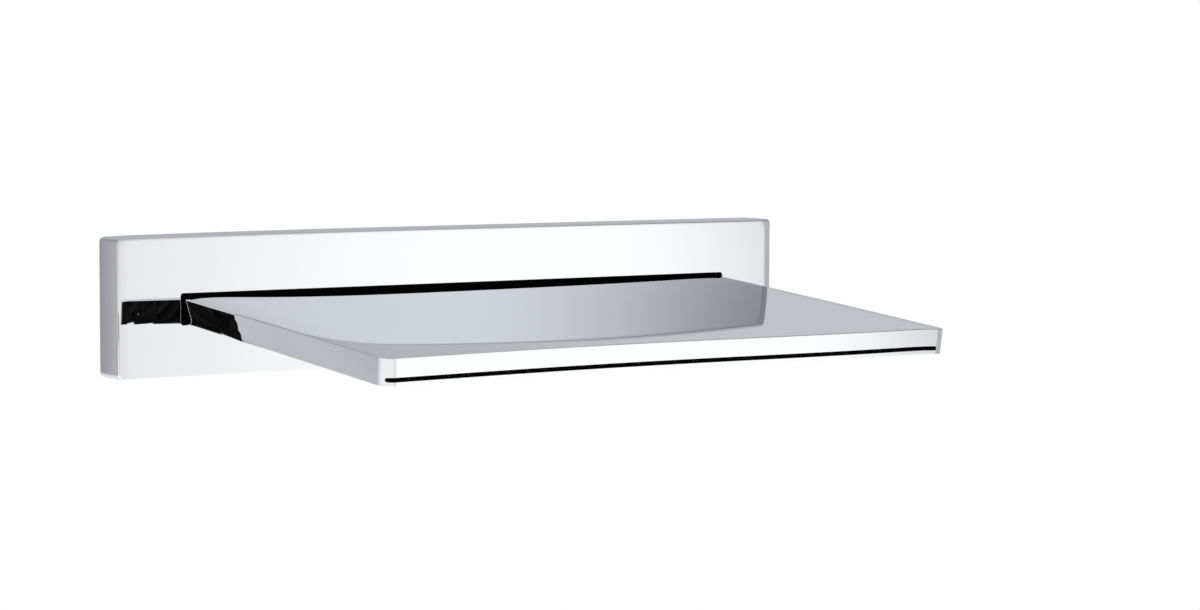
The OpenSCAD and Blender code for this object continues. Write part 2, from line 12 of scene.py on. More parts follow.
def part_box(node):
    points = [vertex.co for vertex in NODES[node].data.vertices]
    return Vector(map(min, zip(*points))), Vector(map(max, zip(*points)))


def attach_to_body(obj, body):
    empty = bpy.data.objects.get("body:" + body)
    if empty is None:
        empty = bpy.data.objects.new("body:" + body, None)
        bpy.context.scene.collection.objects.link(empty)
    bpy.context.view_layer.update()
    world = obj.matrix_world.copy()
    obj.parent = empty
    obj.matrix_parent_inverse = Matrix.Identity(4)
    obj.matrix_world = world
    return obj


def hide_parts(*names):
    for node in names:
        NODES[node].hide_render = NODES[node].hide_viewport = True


bl_info = {
    "name": "Waterfall bath filler",
    "version": (1, 0, 0),
    "blender": (4, 5, 0),
    "location": "View3D > Sidebar > Bath filler",
    "description": "Builds a wall-mounted waterfall bath filler piece by piece",
    "category": "Add Mesh",
}

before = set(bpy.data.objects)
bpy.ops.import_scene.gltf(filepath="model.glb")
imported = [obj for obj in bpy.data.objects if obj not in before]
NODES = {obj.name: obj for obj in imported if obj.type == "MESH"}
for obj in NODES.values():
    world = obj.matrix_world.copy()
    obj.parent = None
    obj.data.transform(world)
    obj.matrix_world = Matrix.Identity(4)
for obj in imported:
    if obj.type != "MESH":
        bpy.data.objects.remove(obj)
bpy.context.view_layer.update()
BODY = "root"
MERGE = 1e-6  # points closer than this are one
NO_AREA = 1e-14  # faces smaller than half of this, in square metres, are left out
MILLIMETRE = 0.001
PLAY = 0.0001  # gap round the pieces in the blade's channel
CAMERA_PLACE = (-0.60285, -1.00328, 0.08105)
SENSOR_WIDTH = 36.0  # millimetres


def node_size(node):
    """Size of a packed node along each axis."""
    low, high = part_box(node)
    return high - low


# Sizes and finishes that a user would change

def length(name, default, description):
    """A length in metres."""
    return bpy.props.FloatProperty(
        name=name, description=description, default=default, min=0.0,
        unit="LENGTH", subtype="DISTANCE", precision=5,
    )


def offset(name, default, description):
    """A length that may be negative."""
    return bpy.props.FloatProperty(
        name=name, description=description, default=default,
        unit="LENGTH", subtype="DISTANCE", precision=5,
    )


def angle(name, default, description):
    """An angle, given in degrees."""
    return bpy.props.FloatProperty(
        name=name, description=description, default=math.radians(default),
        unit="ROTATION", subtype="ANGLE",
    )


def share(name, default, description):
    """A number from 0 to 1."""
    return bpy.props.FloatProperty(
        name=name, description=description, default=default, min=0.0, max=1.0, subtype="FACTOR",
    )


def number(name, default, description):
    """A plain number."""
    return bpy.props.FloatProperty(name=name, description=description, default=default)


def colour(name, default, description):
    """A colour."""
    return bpy.props.FloatVectorProperty(
        name=name, description=description, default=default, min=0.0, max=1.0,
        size=3, subtype="COLOR",
    )


class PlateSizes(bpy.types.PropertyGroup):
    """Cover plate on the wall."""

    width: length("Width", node_size("cover_plate").x, "Width of the plate")
    height: length("Height", node_size("cover_plate").z, "Height of the plate")
    depth: length("Depth", node_size("cover_plate").y, "Distance of the front face from the wall")
    side_wall: length("Side wall", 0.003, "Thickness of the left and right walls")
    rim_wall: length("Rim wall", 0.0025, "Thickness of the top, bottom and front walls")
    edge_radius: length("Edge radius", 0.0004, "Radius of the upright front edges")
    crown: length("End crown", 0.000275, "How far the face is polished back at its ends")
    crown_run: length("End crown run", 0.0037, "Width of the polished zone at each end")
    corner_crown: length("Corner crown", 0.00028, "How far the face is polished back at its corners")
    corner_run: length("Corner crown run", 0.0065, "Reach of the polished zone at the corners")
    rim_crown: length("Rim crown", 0.00006, "How far the face is polished back at its long edges")
    rim_crown_run: length("Rim crown run", 0.0016, "Width of the polished zone along the long edges")
    side_crown: length("Side crown", 0.00012, "How far the side faces bulge across their depth")
    corner_radius: length("Corner radius", 0.002, "Radius of the corners, seen from the front")
    fillet: length("Fillet", 0.00035, "Polished round on the crisp edges")
    top_fillet: length("Top fillet", 0.001, "Polished round along the face's upper edge")
    droop: length("Left droop", 0.00066, "How far the top edge falls towards its left end")
    droop_run: length("Left droop run", 0.12, "Length over which the top edge falls to the left")
    end_droop: length("Left end droop", 0.00022, "How much further it falls at the very end")
    end_droop_run: length("Left end droop run", 0.015, "Length of that last part")
    hole_half: length("Aperture half width", 0.12465, "Half the aperture's width")
    hole_top: offset("Aperture top", 0.0047, "Height of the aperture's upper edge")
    hole_bottom: offset("Aperture bottom", -0.00723, "Height of the aperture's lower edge")
    hole_radius: length("Aperture radius", 0.001, "Corner radius of the aperture")
    hole_fillet: length("Aperture fillet", 0.00012, "Polished round on the aperture's edge")
    grub_at: length("Grub screw place", 0.11, "Distance of each grub screw from the middle")
    grub_depth: length("Grub screw depth", 0.008, "Distance of the grub screws from the wall")
    grub_radius: length("Grub hole radius", 0.00205, "Radius of the grub screws' holes")
    stop_width: length("Stop width", 0.016, "Width of the stops inside the top wall")
    stop_height: length("Stop height", 0.0019, "Height of the stops inside the top wall")
    seal_depth: length("Seal depth", 0.003, "Depth kept free for the foam seal")


class BladeSizes(bpy.types.PropertyGroup):
    """Blade that the water runs out of."""

    width: length("Width", node_size("blade_shell").x, "Width across the top")
    reach: length("Length", 0.147, "Length along the slope from the plate's front face")
    height: length("Height", 0.0098, "Height square to the slope")
    tilt: angle("Tilt", 4.4, "Downward slope")
    draft: angle("Draft", 4.5, "Inward lean of the sides towards the bottom")
    top: length("Top height", 0.0034, "Height of the top at the plate's front face")
    rear: length("Rear", 0.006, "How far the blade runs back behind the plate's front face")
    edge_radius: length("Edge radius", 0.005, "Radius of the upright front edges")
    fillet: length("Fillet", 0.0004, "Polished round on the top edges")
    lower_fillet: length("Lower fillet", 0.00025, "Polished round on the lower edges")
    side_wall: length("Side wall", 0.003, "Thickness of the side walls at the top")
    front_wall: length("Front wall", 0.003, "Thickness of the front wall")
    top_wall: length("Top wall", 0.002, "Thickness of the top wall")
    inner_radius: length("Inner radius", 0.002, "Radius of the inside corners")
    floor: length("Floor thickness", 0.0015, "Thickness of the bottom plate")
    seam: length("Seam", 0.00005, "Gap round the bottom plate")
    slot_height: length("Slot height", 0.0015, "Height of the outlet slot")
    slot_drop: length("Slot drop", 0.00675, "Depth of the slot's upper edge below the top")
    slot_margin: length("Slot margin", 0.0036, "Distance from the side to the slot's end")
    side_fillet: length("Side fillet", 0.0005, "Polished round along the top's side edges")
    slot_shift: offset("Slot shift", -0.0017, "How far the slot stands off the middle")
    polish: share("Polish", 1.0, "How much of the uneven polish of the faces is shown")
    roll_run: length("Roll width", 0.006, "Width over which polishing has rolled the side edges over")
    ripple: length("Ripple", 0.00062, "Depth of the step that buffing left in the left side")
    ripple_at: length("Ripple place", 0.0400, "Distance of the step from the plate")
    dent: length("Dent", 0.0001, "Depth of the shallow dent behind the step")
    swell: length("Left swell", 0.001, "How far the left side stands out at the plate")
    taper: length("Left taper", 0.0021, "How much further in the left side stands at the front")


class FittingSizes(bpy.types.PropertyGroup):
    """Inlet, plugs and the parts in the blade."""

    spigot: length("Spigot radius", 0.008, "Radius of the spigot")
    bore: length("Bore radius", 0.005, "Radius of the water's way")
    ring_at: length("First ring", 0.0023, "Place of the first O-ring")
    ring_pitch: length("Ring pitch", 0.004, "Distance between the O-rings")
    ring_section: length("Ring section", 0.0009, "Radius of the O-rings' section")
    groove: length("Groove width", 0.0023, "Width of the O-rings' grooves")
    groove_floor: length("Groove floor", 0.0062, "Radius of the grooves' floor")
    hex_start: length("Hexagon start", 0.011, "Where the hexagon begins")
    hex_length: length("Hexagon length", 0.006, "Length of the hexagon")
    flats: length("Across flats", 0.026, "Size of the hexagon across its flats")
    relief: length("Relief radius", 0.00968, "Radius of the neck behind the thread")
    thread_start: length("Thread start", 0.019, "Where the thread begins")
    thread_radius: length("Thread radius", 0.01048, "Radius over the thread's crests")
    thread_depth: length("Thread depth", 0.00116, "Depth of the thread")
    pitch: length("Thread pitch", 0.001814, "Pitch of the pipe thread")
    filter_seat: length("Filter seat", 0.0075, "Radius of the filter's seat")
    filter_depth: length("Filter depth", 0.003, "Depth of the filter's seat")
    barb: length("Barb pitch", 0.0019, "Distance between the plugs' barbs")
    slit: length("Plug slit", 0.0008, "Width of the plugs' slit")
    slit_at: length("Slit place", 0.012, "Distance of the slit from the plug's mouth")
    plug_bore: length("Plug bore", 0.00205, "Radius of the plugs' hole")
    comb_at: length("Comb place", 0.096, "Distance of the comb from the plate")
    comb_length: length("Comb length", 0.030, "Length of the comb's fins")
    fin: length("Fin thickness", 0.0008, "Thickness of the comb's fins")
    fin_pitch: length("Fin pitch", 0.008, "Distance between the fins")
    web: length("Web thickness", 0.0008, "Thickness of the comb's web")
    diffuser_at: length("Diffuser place", 0.010, "Distance of the diffuser from the plate")
    diffuser_thick: length("Diffuser thickness", 0.0012, "Thickness of the diffuser strip")
    punch: length("Punched radius", 0.0015, "Radius of the diffuser's holes")
    punch_pitch: length("Punch pitch", 0.006, "Distance between the diffuser's holes")
    flange_head: length("Flange screw head", 0.0058, "Width of the flange screws' heads")
    soft: length("Soft edge", 0.00025, "Round on the edges of the hidden pieces")


class Finishes(bpy.types.PropertyGroup):
    """Colours of the finishes."""

    chrome: colour("Chrome", (0.90, 0.905, 0.915), "Polished chrome plate")
    brass: colour("Brass", (0.70, 0.50, 0.22), "Machined brass")
    steel: colour("Steel", (0.60, 0.60, 0.61), "Plain stainless steel")
    zinc: colour("Zinc", (0.62, 0.64, 0.66), "Zinc-plated sheet")
    rubber: colour("Rubber", (0.012, 0.012, 0.013), "Black rubber")
    foam: colour("Foam", (0.06, 0.06, 0.065), "Closed-cell foam")
    plastic: colour("Plastic", (0.78, 0.77, 0.72), "Moulded off-white plastic")
    plug: colour("Plug", (0.24, 0.25, 0.27), "Grey nylon")
    fibre: colour("Fibre", (0.30, 0.045, 0.03), "Red vulcanised fibre")


class StageSizes(bpy.types.PropertyGroup):
    """Floor, light and camera."""

    floor_drop: length("Floor drop", 0.9, "Depth of the floor below the filler")
    floor_radius: length("Floor radius", 3.3, "Radius of the pale floor")
    light_power: number("Light power", 160.0, "Power of the overhead light in watts")
    light_size: length("Light size", 4.0, "Width of the overhead light")
    camera_yaw: angle("Yaw", 34.012, "Camera's heading, from the wall's normal to the right")
    camera_pitch: angle("Pitch", 4.2186, "How far the camera looks down")
    camera_roll: angle("Roll", 0.2124, "Camera's roll")
    lens: number("Lens", 87.963, "Focal length in millimetres on a 36 mm sensor")


# Shader expressions

class Wire:
    """A shader socket that can be used in plain sums."""

    def __init__(self, recipe, socket):
        self.recipe, self.socket = recipe, socket

    def math(self, operation, *others):
        values = dict(enumerate((self, *others)))
        return self.recipe.node("ShaderNodeMath", {"operation": operation}, values)[0]

    def _swapped(self, operation, other):
        return self.recipe.node("ShaderNodeMath", {"operation": operation}, {0: other, 1: self})[0]

    def __add__(self, other):
        return self.math("ADD", other)

    def __sub__(self, other):
        return self.math("SUBTRACT", other)

    def __mul__(self, other):
        return self.math("MULTIPLY", other)

    def __truediv__(self, other):
        return self.math("DIVIDE", other)

    def __rsub__(self, other):
        return self._swapped("SUBTRACT", other)

    def __rtruediv__(self, other):
        return self._swapped("DIVIDE", other)

    __radd__ = __add__
    __rmul__ = __mul__


class Made:
    """A node that was made, whose outputs are wires by name or number."""

    def __init__(self, recipe, node):
        self.recipe, self.node = recipe, node

    def __getitem__(self, key):
        return Wire(self.recipe, self.node.outputs[key])


class Recipe:
    """Builds a node tree from an empty one."""

    def __init__(self, tree):
        self.tree = tree
        tree.nodes.clear()

    def node(self, kind, settings=None, values=None):
        """A node of a type, with its settings set first and then its sockets."""
        node = self.tree.nodes.new(kind)
        for key, value in (settings or {}).items():
            if key == "stops":
                self._stops(node.color_ramp, value)
            else:
                setattr(node, key, value)
        for key, value in (values or {}).items():
            if isinstance(value, Wire):
                self.tree.links.new(value.socket, node.inputs[key])
            else:
                node.inputs[key].default_value = value
        return Made(self, node)

    @staticmethod
    def _stops(ramp, stops):
        while len(ramp.elements) < len(stops):
            ramp.elements.new(0.5)
        for element, (place, shade) in zip(ramp.elements, stops):
            element.position = place
            element.color = (*shade, 1.0)

    def smooth(self, value, low, high, start=0.0, end=1.0):
        """A smooth step of a value, from start at low to end at high."""
        made = self.node(
            "ShaderNodeMapRange", {"interpolation_type": "SMOOTHSTEP"},
            {"Value": value, "From Min": low, "From Max": high, "To Min": start, "To Max": end},
        )
        return made[0]

    def band(self, value, low, high, soft):
        """1 between two values and 0 outside, with soft ends."""
        return self.smooth(value, low - soft, low + soft) * self.smooth(
            value, high - soft, high + soft, 1.0, 0.0
        )

    def noise(self, place, scale, detail=2.0, roughness=0.5):
        """Noise from 0 to 1, with features about one over scale in size."""
        return self.node(
            "ShaderNodeTexNoise", None,
            {"Vector": place, "Scale": scale, "Detail": detail, "Roughness": roughness},
        )["Fac"]

    def blend(self, factor, first, second):
        """A colour between two colours."""
        return self.node(
            "ShaderNodeMix", {"data_type": "RGBA"}, {"Factor": factor, "A": first, "B": second}
        )["Result"]

    def place(self, scale=(1.0, 1.0, 1.0)):
        """Object coordinates, stretched."""
        coordinates = self.node("ShaderNodeTexCoord")["Object"]
        return self.node("ShaderNodeMapping", None, {"Vector": coordinates, "Scale": scale})["Vector"]

    def bump(self, height, strength, distance, normal=None):
        """A normal from a height."""
        values = {"Height": height, "Strength": strength, "Distance": distance}
        if normal is not None:
            values["Normal"] = normal
        return self.node("ShaderNodeBump", None, values)["Normal"]

    def surface(self, **values):
        """The finished surface."""
        values = {key.replace("_", " "): value for key, value in values.items()}
        shader = self.node("ShaderNodeBsdfPrincipled", None, values)
        self.node("ShaderNodeOutputMaterial", None, {"Surface": shader["BSDF"]})


def paint(value, shade=1.0):
    """A colour with alpha, made lighter or darker."""
    return (*(min(1.0, part * shade) for part in value), 1.0)


MATERIALS = {}


def material(name, build):
    """A material, made once."""
    if name not in MATERIALS:
        made = bpy.data.materials.new(name)
        made.use_nodes = True
        build(Recipe(made.node_tree), bpy.context.scene.filler_finishes)
        MATERIALS[name] = made
    return MATERIALS[name]


def chrome_recipe(r, finishes):
    """Polished chrome, with the faint orange peel and fine hairlines of a buffed face."""
    where = r.place()
    haze = r.noise(where, 60.0, 3.0)
    hairline = r.noise(r.place((30.0, 400.0, 400.0)), 12.0, 4.0, 0.7)
    r.surface(
        Base_Color=r.blend(haze, paint(finishes.chrome, 0.985), paint(finishes.chrome, 1.01)),
        Metallic=1.0,
        Roughness=haze * 0.006 + hairline * 0.006 + 0.004,
    )


def painted_shade_recipe(r, finishes):
    """Painted shade for the inner faces of the waterway: near black and dull, standing in for the
    shade inside.
    """
    grain = r.noise(r.place(), 900.0, 3.0)
    r.surface(
        Base_Color=r.blend(grain, (0.001, 0.001, 0.001, 1.0), (0.003, 0.003, 0.0028, 1.0)),
        Metallic=0.0,
        Roughness=grain * 0.2 + 0.75,
        Specular_IOR_Level=0.02,
        Normal=r.bump(grain, 0.1, 0.00002),
    )


def brass_recipe(r, finishes):
    """Machined brass with tool marks and a little tarnish."""
    where = r.place()
    tarnish = r.noise(where, 120.0, 5.0, 0.6)
    marks = r.noise(r.place((1500.0, 60.0, 1500.0)), 1.0, 3.0, 0.6)
    r.surface(
        Base_Color=r.blend(
            r.smooth(tarnish, 0.35, 0.7), paint(finishes.brass), paint(finishes.brass, 0.62)),
        Metallic=1.0,
        Roughness=tarnish * 0.25 + marks * 0.12 + 0.12,
        Normal=r.bump(marks, 0.25, 0.00004),
    )


def steel_recipe(r, finishes):
    """Plain stainless steel with drawn lines."""
    lines = r.noise(r.place((80.0, 2200.0, 2200.0)), 1.0, 3.0, 0.6)
    cloud = r.noise(r.place(), 250.0, 3.0)
    r.surface(
        Base_Color=r.blend(cloud, paint(finishes.steel, 0.88), paint(finishes.steel, 1.08)),
        Metallic=1.0,
        Roughness=cloud * 0.12 + lines * 0.12 + 0.16,
        Normal=r.bump(lines, 0.2, 0.00003),
    )


def zinc_recipe(r, finishes):
    """Bright zinc over rolled sheet, with a faint spangle."""
    cells = r.node("ShaderNodeTexVoronoi", None, {"Vector": r.place(), "Scale": 260.0})
    shade = r.node("ShaderNodeSeparateColor", None, {"Color": cells["Color"]})["Red"]
    rolled = r.noise(r.place((30.0, 900.0, 900.0)), 1.0, 3.0, 0.6)
    r.surface(
        Base_Color=r.blend(shade, paint(finishes.zinc, 0.86), paint(finishes.zinc, 1.1)),
        Metallic=1.0,
        Roughness=shade * 0.12 + rolled * 0.12 + 0.22,
        Normal=r.bump(rolled, 0.2, 0.00004),
    )


def rubber_recipe(r, finishes):
    """Matt black rubber with a dusty bloom."""
    grain = r.noise(r.place(), 2500.0, 3.0)
    bloom = r.noise(r.place(), 180.0, 4.0)
    r.surface(
        Base_Color=r.blend(
            r.smooth(bloom, 0.4, 0.8), paint(finishes.rubber), paint(finishes.rubber, 2.2)),
        Roughness=grain * 0.2 + 0.6,
        Specular_IOR_Level=0.3,
        Normal=r.bump(grain, 0.2, 0.00002),
    )


def painted_shade_collar_recipe(r, finishes):
    """The same rubber where it sits deep in the gap, painted near black and dull to stand in for the
    shade there.
    """
    grain = r.noise(r.place(), 2500.0, 3.0)
    r.surface(
        Base_Color=r.blend(grain, (0.0015, 0.0015, 0.0015, 1.0), (0.004, 0.004, 0.004, 1.0)),
        Roughness=grain * 0.1 + 0.85,
        Specular_IOR_Level=0.02,
    )


def foam_recipe(r, finishes):
    """Closed-cell foam: small cells, some of them cut open."""
    cells = r.node("ShaderNodeTexVoronoi", None, {"Vector": r.place(), "Scale": 1700.0})["Distance"]
    r.surface(
        Base_Color=r.blend(
            r.smooth(cells, 0.1, 0.7), paint(finishes.foam, 0.5), paint(finishes.foam, 1.35)),
        Roughness=cells * 0.2 + 0.75,
        Normal=r.bump(cells, 0.8, 0.0002),
    )


def moulded(tint, shade, rough):
    """A recipe for a moulded plastic with a faint erosion texture."""
    def build(r, finishes):
        base = getattr(finishes, tint)
        flow = r.noise(r.place(), 140.0, 4.0)
        grain = r.noise(r.place(), 3200.0, 2.0)
        r.surface(
            Base_Color=r.blend(flow, paint(base, shade), paint(base, 1.06)),
            Roughness=grain * 0.15 + rough,
            Normal=r.bump(grain, 0.25, 0.00002),
        )
    return build


def fibre_recipe(r, finishes):
    """Red fibre washer, with fibres in its faces."""
    strands = r.noise(r.place((900.0, 4000.0, 3200.0)), 1.0, 5.0, 0.7)
    r.surface(
        Base_Color=r.blend(
            r.smooth(strands, 0.35, 0.7), paint(finishes.fibre, 0.7), paint(finishes.fibre, 1.5)),
        Roughness=strands * 0.2 + 0.6,
        Normal=r.bump(strands, 0.35, 0.00005),
    )


RECIPES = {
    "chrome": chrome_recipe,
    "hollow": painted_shade_recipe,
    "brass": brass_recipe,
    "steel": steel_recipe,
    "bracket_steel": zinc_recipe,
    "rubber": rubber_recipe,
    "collar": painted_shade_collar_recipe,
    "foam": foam_recipe,
    "plastic": moulded("plastic", 0.94, 0.35),
    "plug": moulded("plug", 0.85, 0.45),
    "fibre": fibre_recipe,
}


def finish(name):
    """The material of a finish."""
    return material(name, RECIPES[name])


# Meshes with exact normals

def unit(vector):
    """A vector of length 1."""
    vector = np.asarray(vector, float)
    return vector / np.linalg.norm(vector)


class Skin:
    """Collects patches whose corners carry their own normals, and joins them into one mesh."""

    def __init__(self):
        self.points, self.index = [], {}
        self.faces, self.normals, self.slots = [], [], []
        self.slot = 0

    def _vertex(self, point):
        key = tuple(round(part / MERGE + 0.137) for part in point)
        if key not in self.index:
            self.index[key] = len(self.points)
            self.points.append(tuple(point))
        return self.index[key]

    def face(self, points, normals):
        """One face. It is turned to agree with its normals, and dropped if it has no area."""
        corners, kept = [], []
        for point, normal in zip(points, normals):
            vertex = self._vertex(point)
            if vertex not in corners:
                corners.append(vertex)
                kept.append(tuple(normal))
        if len(corners) < 3:
            return
        p = [np.array(self.points[c]) for c in corners]
        area = sum(np.cross(p[i] - p[0], p[i + 1] - p[0]) for i in range(1, len(p) - 1))
        if np.linalg.norm(area) < NO_AREA:
            return
        if np.dot(area, np.sum(kept, axis=0)) < 0:
            corners, kept = corners[::-1], kept[::-1]
        self.faces.append(corners)
        self.normals.append(kept)
        self.slots.append(self.slot)

    def grid(self, rows, closed=False):
        """Quads between rows of (point, normal) pairs."""
        for first, second in zip(rows, rows[1:]):
            steps = range(len(first) if closed else len(first) - 1)
            for i in steps:
                j = (i + 1) % len(first)
                four = (first[i], first[j], second[j], second[i])
                self.face([f[0] for f in four], [f[1] for f in four])

    def fill(self, loops, normal):
        """A flat face inside the first loop, with the other loops as holes."""
        flat = [Vector(p) for loop in loops for p in loop]
        for triangle in tessellate_polygon([[Vector(p) for p in loop] for loop in loops]):
            self.face([flat[i] for i in triangle], [normal] * 3)

    def warp(self, move):
        """Moves every point by a smooth rule, and turns the normals with the surface."""
        base = np.array(self.points)
        step = 1e-5
        moved = move(base)
        slopes = [(move(base + step * np.eye(3)[k]) - moved) / step for k in range(3)]
        jacobian = np.stack(slopes, axis=2)
        turn = np.transpose(np.linalg.inv(jacobian), (0, 2, 1))
        self.points = [tuple(p) for p in moved]
        self.normals = [
            [tuple(unit(turn[c] @ np.array(n))) for c, n in zip(corners, normals)]
            for corners, normals in zip(self.faces, self.normals)
        ]

    def piece(self, name, slots):
        """The finished object."""
        mesh = bpy.data.meshes.new(name)
        mesh.from_pydata(self.points, [], self.faces)
        for slot in slots:
            mesh.materials.append(finish(slot))
        mesh.polygons.foreach_set("material_index", self.slots)
        mesh.polygons.foreach_set("use_smooth", [True] * len(self.faces))
        mesh.normals_split_custom_set([n for normals in self.normals for n in normals])
        mesh.update()
        made = bpy.data.objects.new(name, mesh)
        bpy.context.scene.collection.objects.link(made)
        return made


def arc(crease, first, second, radius, steps=4):
    """A small round between two faces that meet at a crease, as (point, normal) pairs."""
    first, second = unit(first), unit(second)
    cosine = float(np.clip(np.dot(first, second), -1.0, 1.0))
    middle = np.asarray(crease, float) - radius * (first + second) / (1.0 + cosine)
    turn = math.acos(cosine)
    row = []
    for i in range(steps + 1):
        t = i / steps
        if turn < 1e-4:
            normal = first
        else:
            normal = (math.sin((1 - t) * turn) * first + math.sin(t * turn) * second) / math.sin(turn)
        row.append((middle + radius * normal, normal))
    return row


def quarter(steps):
    """Angles from 0 to a quarter turn."""
    return [math.pi / 2 * i / steps for i in range(steps + 1)]


def attach(piece, slot, *nodes):
    """Says what a new piece rides on and stands for."""
    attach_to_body(piece, BODY)
    if nodes:
        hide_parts(*nodes)
    return piece


class Opening:
    """A round-cornered opening in an upright face, as points (x, z) with outward normals."""

    def __init__(self, half, top, bottom, radius, columns, steps=6, middle=0.0):
        self.half, self.top, self.bottom, self.radius = half, top, bottom, radius
        self.middle = middle
        ends = [half - radius * (1 - math.cos(a)) for a in reversed(quarter(steps))]
        inner = [x for x in columns if abs(x - middle) < half - radius - MERGE]
        self.columns = sorted({middle - x for x in ends} | set(inner) | {middle + x for x in ends})

    def normal(self, x, level):
        """Outward normal of the outline at a column, for its top (1) or bottom (-1)."""
        over = abs(x - self.middle) - (self.half - self.radius)
        if over <= 0:
            return (0.0, float(level))
        share_x = min(1.0, over / self.radius)
        return (math.copysign(share_x, x - self.middle), level * math.sqrt(1 - share_x ** 2))

    def edge(self, x, level, grow=0.0):
        """The outline's point at a column, grown by a distance."""
        nx, nz = self.normal(x, level)
        over = max(0.0, abs(x - self.middle) - (self.half - self.radius))
        rise = self.radius - math.sqrt(max(0.0, self.radius ** 2 - over ** 2))
        z = (self.top - rise) if level > 0 else (self.bottom + rise)
        return x + grow * nx, z + grow * nz

    def loop(self, grow=0.0):
        """The whole outline: along the top, then back along the bottom."""
        top = [(*self.edge(x, 1, grow), *self.normal(x, 1)) for x in self.columns]
        bottom = [(*self.edge(x, -1, grow), *self.normal(x, -1)) for x in reversed(self.columns)]
        return top + bottom


WALL_ROWS = 8  # rows of faces across the plate's depth
FACE_STEP = 0.001  # spacing of the face's points near its edges
FACE_ZONE = 0.025  # width of the part at each end with points at that spacing
HOLE_CLEAR = 0.0002  # least distance of those points from the aperture's edge


